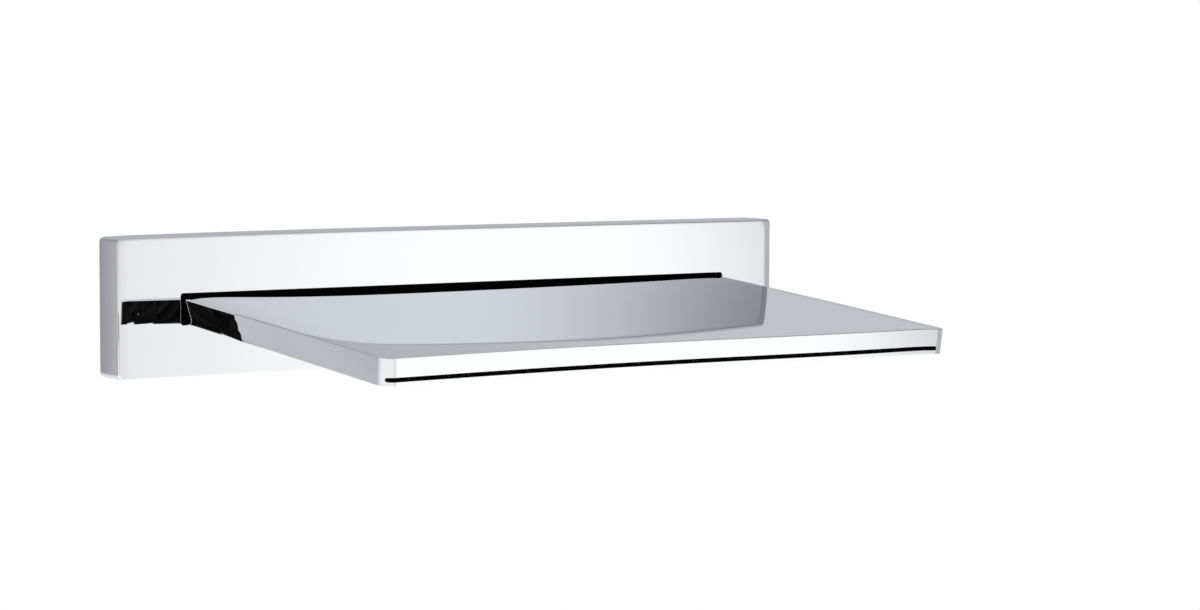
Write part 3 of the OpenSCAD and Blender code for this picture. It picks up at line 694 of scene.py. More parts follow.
def build_plate(sizes):
    """Hollow cover plate with its aperture, grub holes and stops."""
    s = sizes
    skin = Skin()
    half, level = s.width / 2, s.height / 2

    def droop(x):
        """How far the top edge is lowered at a column."""
        left = half + x
        long = max(0.0, 1 - left / s.droop_run)
        last = max(0.0, 1 - left / s.end_droop_run)
        return s.droop * long ** 2 + s.end_droop * last ** 2

    def droop_slope(x):
        """How steeply the top edge falls at a column."""
        return (droop(x + 1e-5) - droop(x - 1e-5)) / 2e-5

    hole = Opening(s.hole_half, s.hole_top, s.hole_bottom, s.hole_radius,
                   [s.hole_half * i / 12 for i in range(-11, 12)])
    face_hole_columns = [hole.edge(x, 1, s.hole_fillet)[0] for x in hole.columns]

    def shell(half, level, depth, corner_r, outside):
        """Walls of a box on the wall, and its front's outline; outside is False for the cavity."""
        facing = 1 if outside else -1
        ends = [half - corner_r + corner_r * math.sin(a) for a in quarter(8)]
        run = [half - s.crown_run + (s.crown_run - corner_r) * i / 8 for i in range(8)]
        run += [half - FACE_ZONE + FACE_STEP * i for i in range(22)]
        side = sorted(x for x in set(run + ends) if x > s.hole_half + s.fillet + HOLE_CLEAR)
        side = [x for i, x in enumerate(side) if i == 0 or x - side[i - 1] > 2 * MERGE]
        inner = face_hole_columns if outside else hole.columns
        stations = [-x for x in reversed(side)] + inner + side

        def rim(x, up):
            """Height and normal of the outline at a column, for its top (1) or bottom (-1)."""
            over = abs(x) - (half - corner_r)
            lower = droop(x) if outside and up > 0 else 0.0
            if over <= 0:
                slope = droop_slope(x) if outside and up > 0 else 0.0
                return up * (level - lower), unit((slope, 0.0, up))
            sine = min(1.0, over / corner_r)
            cosine = math.sqrt(1 - sine * sine)
            z = level - corner_r + corner_r * cosine - lower
            return up * z, np.array((math.copysign(sine, x), 0.0, up * cosine))

        def front(x, z):
            """Point and normal of the face: flat, with the polished crown round its outline."""
            if not outside:
                return np.array((x, -depth, z)), np.array((0.0, 1.0, 0.0))
            end = max(0.0, abs(x) - (half - s.crown_run)) / s.crown_run
            outline = abs(rim(x, 1 if z > 0 else -1)[0])
            edge = max(0.0, abs(z) - (outline - s.rim_crown_run)) / s.rim_crown_run
            reach = math.hypot(half - abs(x), level - abs(z)) + MERGE
            corner = max(0.0, 1 - reach / s.corner_run)
            y = -depth + s.crown * end ** 2 + s.rim_crown * edge ** 2 + s.corner_crown * corner ** 3
            fall = 3 * s.corner_crown * corner ** 2 / s.corner_run / reach
            slope = (
                math.copysign(2 * s.crown * end / s.crown_run + fall * (half - abs(x)), x), -1.0,
                math.copysign(2 * s.rim_crown * edge / s.rim_crown_run + fall * (level - abs(z)), z),
            )
            return np.array((x, y, z)), unit(slope)

        def wall(x, up, share_y, y_front):
            """Point and normal of the rim wall, from the rear (0) to the front edge (1)."""
            z, normal = rim(x, up)
            if not outside:
                return np.array((x, -depth * share_y, z)), -normal
            bulge = s.side_crown * abs(normal[0])
            v = 1 - 2 * share_y
            point = np.array((x, y_front * share_y, z)) - normal * bulge * v * v
            return point, unit(normal + np.array((0.0, 2 * bulge * v / (depth / 2), 0.0)))

        loop = [(x, 1) for x in stations] + [(x, -1) for x in reversed(stations)]
        walls, fronts, rears = [], {}, []
        for x, up in loop:
            z, rim_normal = rim(x, up)
            point, ahead = front(x, z)
            start, first_normal = wall(x, up, 0.0, point[1])
            end, last_normal = wall(x, up, 1.0, point[1])
            if outside:
                soft = s.top_fillet if up > 0 else s.fillet
                soft += (s.edge_radius - soft) * abs(rim_normal[0])
                bend = arc((end[0], point[1], end[2]), last_normal, ahead, soft)
                back = arc(start, first_normal, (0, 1, 0), s.fillet)
            else:
                bend = [(end, last_normal), (end, ahead)]
                back = [(start, first_normal)] * 2
            middle = []
            if outside:
                middle = [wall(x, up, k / WALL_ROWS, point[1]) for k in range(1, WALL_ROWS)]
            fronts[(x, up)] = bend
            walls.append((back, middle, bend))
            rears.append(back[-1][0])
        size = len(walls)
        flat_end = half - corner_r + MERGE
        for i in range(size):
            back, middle, bend = walls[i]
            next_back, next_middle, next_bend = walls[(i + 1) % size]
            (x, up), (next_x, _) = loop[i], loop[(i + 1) % size]
            if outside:
                skin.grid([back, next_back])
                skin.grid([bend, next_bend])
            if not (up < 0 and max(abs(x), abs(next_x)) <= flat_end):
                skin.grid([[back[0], *middle, bend[0]], [next_back[0], *next_middle, next_bend[0]]])
        below = [i for i, (x, up) in enumerate(loop) if up < 0 and abs(x) <= flat_end]
        edge = [walls[i][2][0][0] for i in below]
        rear = [walls[i][0][0][0] for i in reversed(below)]
        ends_up = [[point for point, _ in walls[i][1]] for i in (below[0], below[-1])]
        outline = edge + ends_up[1][::-1] + rear + ends_up[0]
        skin.fill([outline] + [grub_ring(sign, -level) for sign in (-1, 1)], (0.0, 0.0, -facing))
        return stations, front, fronts, rears

    def grub_ring(sign, z, steps=32):
        """Edge of a grub screw's hole at a height."""
        turns = [2 * math.pi * i / steps for i in range(steps)]
        return [(sign * s.grub_at + s.grub_radius * math.cos(a),
                 -s.grub_depth + s.grub_radius * math.sin(a), z) for a in turns]

    cavity_half, cavity_level = half - s.side_wall, level - s.rim_wall
    cavity_depth = s.depth - s.rim_wall
    stations, front, fronts, rears = shell(half, level, s.depth, s.corner_radius, True)
    inner_stations, inner_front, inner_fronts, inner_rears = shell(
        cavity_half, cavity_level, cavity_depth, s.corner_radius / 2, False)

    # Front faces, outside and inside, each with the aperture in it
    steps = [s.rim_crown_run * k / 4 for k in range(1, 6)]
    steps += [3 * FACE_STEP + FACE_STEP * k for k in range(8)]
    for columns, ends, grow, inside in (
        (stations, fronts, s.hole_fillet, front),
        (inner_stations, inner_fronts, 0.0, inner_front),
    ):
        openings = {hole.edge(x, 1, grow)[0]: x for x in hole.columns}
        strip = []
        for x in columns:
            top, bottom = ends[(x, 1)][-1], ends[(x, -1)][-1]
            if x in openings:
                z_top, z_low = (hole.edge(openings[x], k, grow)[1] for k in (1, -1))
            else:
                z_top, z_low = s.hole_top - s.hole_radius, s.hole_bottom + s.hole_radius
            at = top[0][0]
            high = [top] + [inside(at, top[0][2] - step) for step in steps]
            low = [inside(at, bottom[0][2] + step) for step in reversed(steps)] + [bottom]
            strip.append([high + [inside(at, z_top)], [inside(at, z_low)] + low, x in openings])
        for a, b in zip(strip, strip[1:]):
            skin.grid([a[0], b[0]])
            skin.grid([a[1], b[1]])
            if not (a[2] and b[2]):
                skin.grid([[a[0][-1], a[1][0]], [b[0][-1], b[1][0]]])

    # The aperture's walls: a polished edge, with painted shade on the walls behind it
    bends, deeper = [], []
    for x, z, nx, nz in hole.loop():
        bend = arc((x, -s.depth, z), (0, -1, 0), (-nx, 0, -nz), s.hole_fillet)
        bends.append(bend)
        deeper.append([bend[-1], ((x, -cavity_depth, z), np.array((-nx, 0, -nz)))])
    skin.grid(bends + bends[:1])
    # painted shade: the walls behind the edge take the near-black finish in place of the shade there
    skin.slot = 1
    skin.grid(deeper + deeper[:1])
    skin.slot = 0

    # The rear rim and the grub holes
    skin.fill([rears, inner_rears], (0.0, 1.0, 0.0))
    for sign in (-1, 1):
        outer, inner = grub_ring(sign, -level), grub_ring(sign, -cavity_level)
        centre = np.array((sign * s.grub_at, -s.grub_depth, 0.0))
        facing = [unit(centre - np.array((p[0], p[1], 0.0))) for p in outer]
        skin.grid([list(zip(outer, facing)), list(zip(inner, facing))], closed=True)

    # Stops inside the top wall
    for sign in (-1, 1):
        left, right = sign * s.grub_at - s.stop_width / 2, sign * s.grub_at + s.stop_width / 2
        low = np.array((left, -cavity_depth, cavity_level - s.stop_height))
        high = np.array((right, -s.seal_depth, cavity_level))
        add_block(skin, low, high)
    plate = skin.piece("cover_plate_skin", ["chrome", "hollow"])
    return attach(plate, "chrome", "cover_plate")


def add_block(skin, low, high):
    """A plain block with sharp normals, for a form inside another piece."""
    corners = np.array([low, high])
    for axis in range(3):
        for end in (0, 1):
            u, v = [k for k in range(3) if k != axis]
            quad = []
            for i, j in ((0, 0), (1, 0), (1, 1), (0, 1)):
                point = np.zeros(3)
                point[axis], point[u], point[v] = corners[end][axis], corners[i][u], corners[j][v]
                quad.append(point)
            normal = np.zeros(3)
            normal[axis] = 1 if end else -1
            skin.face(quad, [normal] * 4)


# Height that polishing has left on the blade, as (power across, power along, millimetres):
# across runs from -1 at the left side to 1 at the right, along from 0 at the plate to 1 at the front
POLISH = (
    (0, 0, -0.435), (0, 1, 0.125), (0, 2, 0.424), (1, 0, 0.252), (1, 1, 1.534), (1, 2, -2.358),
    (2, 0, 0.392), (2, 1, -0.273), (2, 2, -1.066), (3, 0, -0.496), (3, 1, -0.889), (3, 2, 2.138),
    (4, 0, 0.650), (4, 1, -0.017),
)
# Roll of each side edge, as (side, millimetres at the plate, further millimetres at the front)
ROLLS = ((-1, -1.402, 1.385), (1, -0.456, -0.762))
SIDE_POWER = 6  # how closely the forms of the left side keep to it
TURN_FADE = 0.55  # share of that side's turn that is gone at its bottom
STEP_FADE = 0.3  # share of its step that is gone there
# Step in the left side: how far its line leans forward towards the bottom, as (power, metres),
# how sharply it starts, how fast it turns outwards and how far along the blade it dies away
STEP_LEAN = ((1, 0.0027), (2, 0.0035), (14, 0.003))
STEP_START, STEP_TURN, STEP_REACH = 0.0008, 0.008, 0.045
# Dent behind the step: where it starts and how soon it is full, where it ends and how sharply,
# and at which share of the height it changes from in to out, and how sharply
DENT_START, DENT_RUN, DENT_END, DENT_STOP = 0.017, 0.012, 0.0012, 0.0008
DENT_LEVEL, DENT_CHANGE = 0.81, 9


def blade_bow(sizes):
    """The rule that gives the blade its uneven polish, in its own frame."""
    s = sizes
    half = s.width / 2

    def move(points):
        across = points[:, 0] / half
        along = np.clip(-points[:, 1] / s.reach, 0.0, 1.0)
        rise = sum(size * across ** i * along ** j for i, j, size in POLISH)
        for side, rear, more in ROLLS:
            rise = rise + (rear + more * along) * np.exp((side * points[:, 0] - half) / s.roll_run)
        moved = points.copy()
        leftmost = np.clip(-across, 0.0, 1.0) ** SIDE_POWER
        leaning = leftmost * (1 + TURN_FADE * points[:, 2] / s.height)
        moved[:, 0] += (s.taper * along - s.swell) * leaning * s.polish
        deep = np.clip(-points[:, 2] / s.height, 0.0, 1.0)
        ahead = -points[:, 1] - s.ripple_at - sum(far * deep ** i for i, far in STEP_LEAN)
        past = (ahead + np.hypot(ahead, STEP_START)) / 2
        step = (0.5 - np.exp(-past / STEP_TURN)) * np.exp(-(past / STEP_REACH) ** 2)
        step = step * np.clip((ahead + s.ripple_at) / s.ripple_at, 0.0, 1.0)
        step = step * (1 - STEP_FADE * deep ** 2)
        window = np.clip((ahead + DENT_START) / DENT_RUN, 0.0, 1.0)
        window = window * (1 - np.tanh((ahead + DENT_END) / DENT_STOP)) / 2
        dent = np.tanh((points[:, 2] / s.height + DENT_LEVEL) * DENT_CHANGE) * window
        moved[:, 0] += (s.ripple * step + s.dent * dent) * leftmost * s.polish
        moved[:, 2] += rise * MILLIMETRE * s.polish
        return moved
    return move


def blade_place(sizes):
    """The rule that puts the blade's own frame on the plate."""
    s = sizes
    turn = np.array(Matrix.Rotation(s.tilt, 3, "X"))
    start = np.array((0.0, -node_size("cover_plate").y, s.top))

    def move(points):
        return points @ turn.T + start
    return move


BLADE_ROWS = 72  # rows of faces along the blade
SIDE_LEVELS = 16  # levels of faces on its sides
SLOT_LIP = 0.0001  # round on the slot's edge


def build_blade(sizes):
    """Top, sides and front of the blade, with the slot."""
    s = sizes
    skin = Skin()
    half, lean = s.width / 2, math.tan(s.draft)
    flat = half - s.edge_radius
    slot_mid = -s.slot_drop - s.slot_height / 2
    slot_half = half - s.slot_margin - slot_mid * lean
    columns = [flat * i / 24 for i in range(-24, 25)]
    rounds = [flat + s.edge_radius * math.sin(a) for a in quarter(14)]
    slot = Opening(slot_half, -s.slot_drop, -s.slot_drop - s.slot_height, s.slot_height / 2 - MERGE,
                   columns + rounds + [-x for x in rounds], steps=5, middle=s.slot_shift)
    lip_columns = [slot.edge(x, 1, SLOT_LIP)[0] for x in slot.columns]
    apart = 20 * MERGE
    left_end, right_end = min(lip_columns) - apart, max(lip_columns) + apart
    beyond = {-x for x in rounds if -x < left_end} | {x for x in rounds if x > right_end}
    stations = sorted(beyond | set(lip_columns))
    rows = [i / BLADE_ROWS for i in range(BLADE_ROWS + 1)]

    def plan(x, radius, edge, front):
        """Distance along -Y and normal of an outline at a column."""
        over = abs(x) - edge
        if over <= 0:
            return -front, 0.0
        sine = min(1.0, over / radius)
        return -(front - radius) - radius * math.sqrt(1 - sine * sine), math.copysign(sine, x)

    def outer(x, z):
        """Point and normal of the outside at a column, at a height."""
        y, sine = plan(x, s.edge_radius, flat, s.reach)
        over = max(0.0, abs(x) - flat)
        inset = -z * lean * (1.0 if over > 0 else abs(x) / flat)
        normal = unit((sine, -math.sqrt(1 - sine * sine), -abs(sine) * lean))
        return np.array((x - math.copysign(inset, x), y, z)), normal

    def rear(z):
        """Where the blade ends behind the plate's front, at a height."""
        return (s.rear + z * math.sin(s.tilt)) / math.cos(s.tilt)

    edge_start = -(s.reach - s.edge_radius)

    def side(sign, z, t):
        """Point and normal of a side at a height, from the front edge (0) to the rear (1)."""
        back = rear(z)
        y = edge_start + t * (back - edge_start)
        x = sign * (half + z * lean)
        return np.array((x, y, z)), unit((sign, 0.0, -lean))

    # Stations round the outside: up the left side, along the front, back along the right
    places = [("side", -1, t) for t in reversed(rows[1:])]
    places += [("front", x, 0) for x in stations]
    places += [("side", 1, t) for t in rows[1:]]
    inner_half = half - s.side_wall
    inner_front = s.reach - s.front_wall
    inner_flat = inner_half - s.inner_radius
    outside, inside = [], []
    for kind, value, t in places:
        if kind == "side":
            high, normal = side(value, 0.0, t)
            low, _ = side(value, -s.height, t)
        else:
            (high, normal), (low, _) = outer(value, 0.0), outer(value, -s.height)
        upper = arc(high, (0, 0, 1), normal, s.fillet + (s.side_fillet - s.fillet) * abs(normal[0]))
        under = arc(low, normal, (0, 0, -1), s.lower_fillet, 3)
        outside.append((upper, under))
        if kind == "side":
            start = -(inner_front - s.inner_radius)
            point = (value * inner_half, start + t * (rear(-s.height) - start))
            turned = (-value, 0.0, 0.0)
        else:
            x = max(-inner_half, min(inner_half, value * inner_half / half))
            y, sine = plan(x, s.inner_radius, inner_flat, inner_front)
            point = (x, y)
            turned = (-sine, math.sqrt(1 - sine * sine), 0.0)
        inside.append((point, np.array(turned)))
    in_front = [kind == "front" for kind, _, _ in places]
    first, last = in_front.index(True), len(places) - 1 - in_front[::-1].index(True)
    for i in range(len(places) - 1):
        (upper, under), (next_upper, next_under) = outside[i], outside[i + 1]
        skin.grid([upper, next_upper])
        skin.grid([under, next_under])
        if not (first <= i < last):
            # Only the top and the bottom level beside the front face, whose columns have no others
            levels = [n / SIDE_LEVELS for n in range(SIDE_LEVELS + 1)]
            pairs = ((upper, under, i != last), (next_upper, next_under, i + 1 != first))
            here, there = (
                [(a[-1][0] * (1 - n) + b[0][0] * n, a[-1][1]) for n in (levels if inner else (0, 1))]
                for a, b, inner in pairs
            )
            if len(here) == len(there):
                skin.grid([here, there])
            else:
                loop = here + there[::-1]
                skin.face([p for p, _ in loop], [n for _, n in loop])

    # Top: columns from the front edge back to the rear
    top_columns = []
    for i in range(first, last + 1):
        start = outside[i][0][0][0]
        back = rear(0.0)
        if i == first:
            line = [outside[k][0][0][0] for k in range(first, -1, -1)]
        elif i == last:
            line = [outside[k][0][0][0] for k in range(last, len(places))]
        else:
            line = [np.array((start[0], start[1] + t * (back - start[1]), 0.0)) for t in rows]
        top_columns.append([(p, (0.0, 0.0, 1.0)) for p in line])
    skin.grid(top_columns)

    # Front face with the slot
    lookup = {value: i for i, value in enumerate(lip_columns)}
    strip = []
    for i in range(first, last + 1):
        x = places[i][1]
        opened = x in lookup
        if opened:
            spots = [slot.edge(slot.columns[lookup[x]], k, SLOT_LIP)[1] for k in (1, -1)]
        else:
            spots = [slot_mid, slot_mid]
        upper, under = outside[i]
        strip.append([upper[-1], outer(x, spots[0]), outer(x, spots[1]), under[0], opened])
    for a, b in zip(strip, strip[1:]):
        skin.grid([[a[0], a[1]], [b[0], b[1]]])
        skin.grid([[a[2], a[3]], [b[2], b[3]]])
        if not (a[4] and b[4]):
            skin.grid([[a[1], a[2]], [b[1], b[2]]])

    # Walls of the slot
    lips, walls, inner_edge = [], [], []
    for x, z, nx, nz in slot.loop():
        point, normal = outer(x, z)
        inward = np.array((-nx, 0.0, -nz))
        bend = arc(point, normal, inward, SLOT_LIP, 2)
        outer_x, outer_z = slot.edge(x, 1 if nz >= 0 else -1, SLOT_LIP)
        bend[0] = (outer(outer_x, outer_z)[0], normal)
        end = np.array((point[0], -inner_front, z))
        lips.append(bend)
        walls.append([bend[-1], (end, inward)])
        inner_edge.append(end)
    skin.grid(lips + lips[:1])
    # painted shade: the slot's walls behind the lip take the near-black finish in place of the shade
    # inside
    skin.slot = 1
    skin.grid(walls + walls[:1])
    skin.slot = 0

    # Bottom rim, then the inner walls and the ceiling inside, which get painted shade
    low_inner = [np.array((*p, -s.height)) for p, _ in inside]
    for i in range(len(places) - 1):
        skin.grid([[outside[k][1][-1], (low_inner[k], (0, 0, -1))] for k in (i, i + 1)])
    # painted shade: near-black finish on the inner walls, inner front and ceiling, standing in for
    # the shade inside the blade
    skin.slot = 1
    ceiling = -s.top_wall
    for i in range(len(places) - 1):
        if first <= i < last:
            continue
        rows_in = []
        for k in (i, i + 1):
            (px, py), normal = inside[k]
            rows_in.append([((px, py, -s.height), normal), ((px, py, ceiling), normal)])
        skin.grid(rows_in)
    front_low = [(*inside[i][0], -s.height) for i in range(first, last + 1)]
    front_high = [(*inside[i][0], ceiling) for i in range(first, last + 1)]
    skin.fill([front_low + front_high[::-1], inner_edge], (0.0, 1.0, 0.0))
    roof = [(*inside[i][0], ceiling) for i in range(len(places))]
    skin.fill([roof], (0.0, 0.0, -1.0))

    # The rear end, cut square to the wall
    skin.slot = 0
    back_normal = (0.0, math.cos(s.tilt), -math.sin(s.tilt))
    ring = [p for p, _ in outside[0][0]] + [p for p, _ in outside[0][1]]
    ring += [low_inner[0], roof[0], roof[-1], low_inner[-1]]
    ring += [p for p, _ in reversed(outside[-1][1])] + [p for p, _ in reversed(outside[-1][0])]
    ring += [column[-1][0] for column in reversed(top_columns[1:-1])]
    skin.fill([ring], back_normal)
    skin.warp(blade_bow(s))
    skin.warp(blade_place(s))
    blade = skin.piece("blade_skin", ["chrome", "hollow"])
    return attach(blade, "chrome", "blade_shell")


def build_floor(sizes):
    """Bottom plate of the blade."""
    s = sizes
    skin = Skin()
    half = s.width / 2 - s.side_wall - s.seam
    front = s.reach - s.front_wall - s.seam
    radius = s.inner_radius
    round_edge = 0.0001
    back = (s.rear - s.height * math.sin(s.tilt)) / math.cos(s.tilt)
    side_rows = [i / 24 for i in range(1, 25)]
    start = -(front - radius)
    turns = [(math.sin(a), math.cos(a)) for a in quarter(6)]
    across = half - radius
    outline = [((-half, start + t * (back - start)), (-1.0, 0.0)) for t in reversed(side_rows)]
    outline += [((-across - radius * c, start - radius * n), (-c, -n)) for n, c in turns]
    outline += [((across * i / 24, -front), (0.0, -1.0)) for i in range(-23, 24)]
    outline += [((across + radius * n, start - radius * c), (n, -c)) for n, c in turns]
    outline += [((half, start + t * (back - start)), (1.0, 0.0)) for t in side_rows]
    rows = []
    top, low = -s.height + s.floor, -s.height
    for (x, y), (nx, ny) in outline:
        rows.append(arc((x, y, top), (0, 0, 1), (nx, ny, 0), round_edge, 2)
                    + arc((x, y, low), (nx, ny, 0), (0, 0, -1), round_edge, 2))
    skin.grid(rows)
    count_side = len(side_rows)
    span = list(range(count_side, len(outline) - count_side))
    for end, normal in ((0, (0.0, 0.0, 1.0)), (-1, (0.0, 0.0, -1.0))):
        columns = []
        for i in span:
            px, py, pz = rows[i][end][0]
            if i == span[0]:
                line = [rows[k][end][0] for k in range(i, -1, -1)]
            elif i == span[-1]:
                line = [rows[k][end][0] for k in range(i, len(outline))]
            else:
                line = [np.array((px, py + t * (back - py), pz)) for t in [0.0] + side_rows]
            columns.append([(p, normal) for p in line])
        skin.grid(columns)
        if end == 0:
            upper_back = [c[-1][0] for c in columns]
        else:
            lower_back = [c[-1][0] for c in columns]
    ring = [p for p, _ in rows[0]] + lower_back[1:-1] + [p for p, _ in reversed(rows[-1])]
    skin.fill([ring + upper_back[::-1][1:-1]], (0.0, 1.0, 0.0))
    skin.warp(blade_bow(s))
    skin.warp(blade_place(s))
    return attach(skin.piece("blade_floor_skin", ["chrome"]), "chrome", "blade_floor")


# Hidden and rear pieces

def finished(work, name, slot, crease=32.0):
    """An object from a bmesh, smooth but for its creases."""
    bmesh.ops.recalc_face_normals(work, faces=work.faces)
    mesh = bpy.data.meshes.new(name)
    work.to_mesh(mesh)
    work.free()
    mesh.materials.append(finish(slot))
    mesh.polygons.foreach_set("use_smooth", [True] * len(mesh.polygons))
    mesh.set_sharp_from_angle(angle=math.radians(crease))
    made = bpy.data.objects.new(name, mesh)
    bpy.context.scene.collection.objects.link(made)
    return made


def packed(node, alone=False):
    """The merged mesh of a packed node, or only its first loose part along X and then Z."""
    work = bmesh.new()
    work.from_mesh(NODES[node].data)
    work.transform(NODES[node].matrix_world)
    bmesh.ops.remove_doubles(work, verts=work.verts, dist=MERGE)
    if alone:
        first = min(work.verts, key=lambda v: (round(v.co.x, 4), v.co.z))
        kept, edge = {first}, {first}
        while edge:
            edge = {e.other_vert(v) for v in edge for e in v.link_edges} - kept
            kept |= edge
        bmesh.ops.delete(work, geom=[v for v in work.verts if v not in kept], context="VERTS")
    return work


def put_in_order(work):
    """Lists points and faces by place, since a bevel lists them differently each run."""
    for rank, point in enumerate(sorted(work.verts, key=lambda v: tuple(v.co))):
        point.index = rank
    work.verts.sort()
    for rank, face in enumerate(sorted(work.faces, key=lambda f: sorted(v.index for v in f.verts))):
        face.index = rank
    work.faces.sort()


def soften(work, width, turn=30.0):
    """Breaks the sharp edges with a small round."""
    bmesh.ops.dissolve_limit(work, angle_limit=math.radians(0.5), verts=work.verts, edges=work.edges)
    limit = math.radians(turn)
    sharp = [e for e in work.edges if len(e.link_faces) == 2 and e.calc_face_angle(0.0) > limit]
    bmesh.ops.bevel(
        work, geom=sharp, offset=width, offset_type="OFFSET", segments=2, profile=0.5,
        affect="EDGES", clamp_overlap=True,
    )
    bmesh.ops.triangulate(work, faces=[f for f in work.faces if len(f.verts) > 4])
    put_in_order(work)
    return work


def lathe(work, rows, steps, centre, closed=True):
    """Rings round an axis along Y. A row is (y, r), where r may be a function of the angle."""
    rings = []
    for y, radius in rows:
        ring = []
        for i in range(steps):
            a = 2 * math.pi * i / steps
            r = radius(a) if callable(radius) else radius
            ring.append(work.verts.new((centre[0] + r * math.cos(a), y, centre[1] + r * math.sin(a))))
        rings.append(ring)
    pairs = list(zip(rings, rings[1:])) + ([(rings[-1], rings[0])] if closed else [])
    for first, second in pairs:
        for i in range(steps):
            j = (i + 1) % steps
            work.faces.new((first[i], first[j], second[j], second[i]))
    return rings


def repeat_tree():
    """Geometry nodes that repeat their input over a grid along X and Z."""
    tree = bpy.data.node_groups.new("repeat", "GeometryNodeTree")
    face = tree.interface
    for name, kind in (
        ("Geometry", "NodeSocketGeometry"), ("Columns", "NodeSocketInt"), ("Rows", "NodeSocketInt"),
        ("Length", "NodeSocketFloat"), ("Rise", "NodeSocketFloat"), ("Middle", "NodeSocketVector"),
        ("Material", "NodeSocketMaterial"),
    ):
        face.new_socket(name, in_out="INPUT", socket_type=kind)
    face.new_socket("Geometry", in_out="OUTPUT", socket_type="NodeSocketGeometry")
    add, link = tree.nodes.new, tree.links.new
    given, grid = add("NodeGroupInput"), add("GeometryNodeMeshGrid")
    stand = add("GeometryNodeTransform")
    put, real = add("GeometryNodeInstanceOnPoints"), add("GeometryNodeRealizeInstances")
    paint_on, out = add("GeometryNodeSetMaterial"), add("NodeGroupOutput")
    sized = {"Columns": "Vertices X", "Rows": "Vertices Y", "Length": "Size X", "Rise": "Size Y"}
    for name, socket in sized.items():
        link(given.outputs[name], grid.inputs[socket])
    link(grid.outputs["Mesh"], stand.inputs["Geometry"])
    stand.inputs["Rotation"].default_value = (math.pi / 2, 0.0, 0.0)
    link(given.outputs["Middle"], stand.inputs["Translation"])
    link(stand.outputs["Geometry"], put.inputs["Points"])
    link(given.outputs["Geometry"], put.inputs["Instance"])
    link(put.outputs["Instances"], real.inputs["Geometry"])
    link(real.outputs["Geometry"], paint_on.inputs["Geometry"])
    link(given.outputs["Material"], paint_on.inputs["Material"])
    link(paint_on.outputs["Geometry"], out.inputs["Geometry"])
    return tree


def repeat(piece, slot, columns, across, rows=1, up=0.0):
    """Repeats a piece to the right and upwards from where it stands, as one plain mesh."""
    tree = bpy.data.node_groups.get("repeat") or repeat_tree()
    sockets = tree.interface.items_tree
    keys = {item.name: item.identifier for item in sockets if item.in_out == "INPUT"}
    made = piece.modifiers.new("repeat", "NODES")
    made.node_group = tree
    wide, high = across * (columns - 1), up * (rows - 1)
    values = {"Columns": columns, "Rows": rows, "Length": wide, "Rise": high,
              "Middle": (wide / 2, 0.0, high / 2), "Material": finish(slot)}
    for name, value in values.items():
        made[keys[name]] = value
    ready = piece.evaluated_get(bpy.context.evaluated_depsgraph_get())
    mesh = bpy.data.meshes.new_from_object(ready)
    piece.modifiers.clear()
    piece.data = mesh
    return piece


# Share of the full soft edge that the finer pieces take
SHARES = {
    "bracket_washers": 0.6, "manifold_gasket": 0.4, "aperture_collar": 0.4, "manifold_screws": 0.5,
    "bracket_screws": 0.5, "grub_screws": 0.5, "flange_screws": 0.5, "tail_washer": 0.6,
    "filter_rim": 0.6, "filter_mesh": 0.2,
}


def soft_edge(node):
    """Round on the edges of a hidden piece."""
    return bpy.context.scene.filler_fittings.soft * SHARES.get(node, 1.0)


def build_set(node, slot, columns, across, rows=1, up=0.0):
    """Small parts of one kind, softened and repeated."""
    work = soften(packed(node, alone=True), soft_edge(node))
    piece = repeat(finished(work, node + "_set", slot), slot, columns, across, rows, up)
    return attach(piece, slot, node)


def pair_of(node):
    """Count and distance of two parts of one kind that stand side by side."""
    low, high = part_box(node)
    work = packed(node, alone=True)
    xs = [v.co.x for v in work.verts]
    work.free()
    return 2, (high.x - low.x) - (max(xs) - min(xs))


def build_soft(node, slot):
    """A softened copy of a packed node."""
    work = soften(packed(node), soft_edge(node))
    return attach(finished(work, node + "_soft", slot), slot, node)


BROKEN_EDGE = 0.0001  # small round on turned edges
HEX_TURN = 0.0011  # length over which the hexagon's corners are turned off
HEX_STEPS = 6
CREST, FLANK = 0.12, 0.76  # shares of the thread's pitch
ROUND_STEPS = 96  # faces round the turned pieces
RING_STEPS = 28  # faces round an O-ring's section


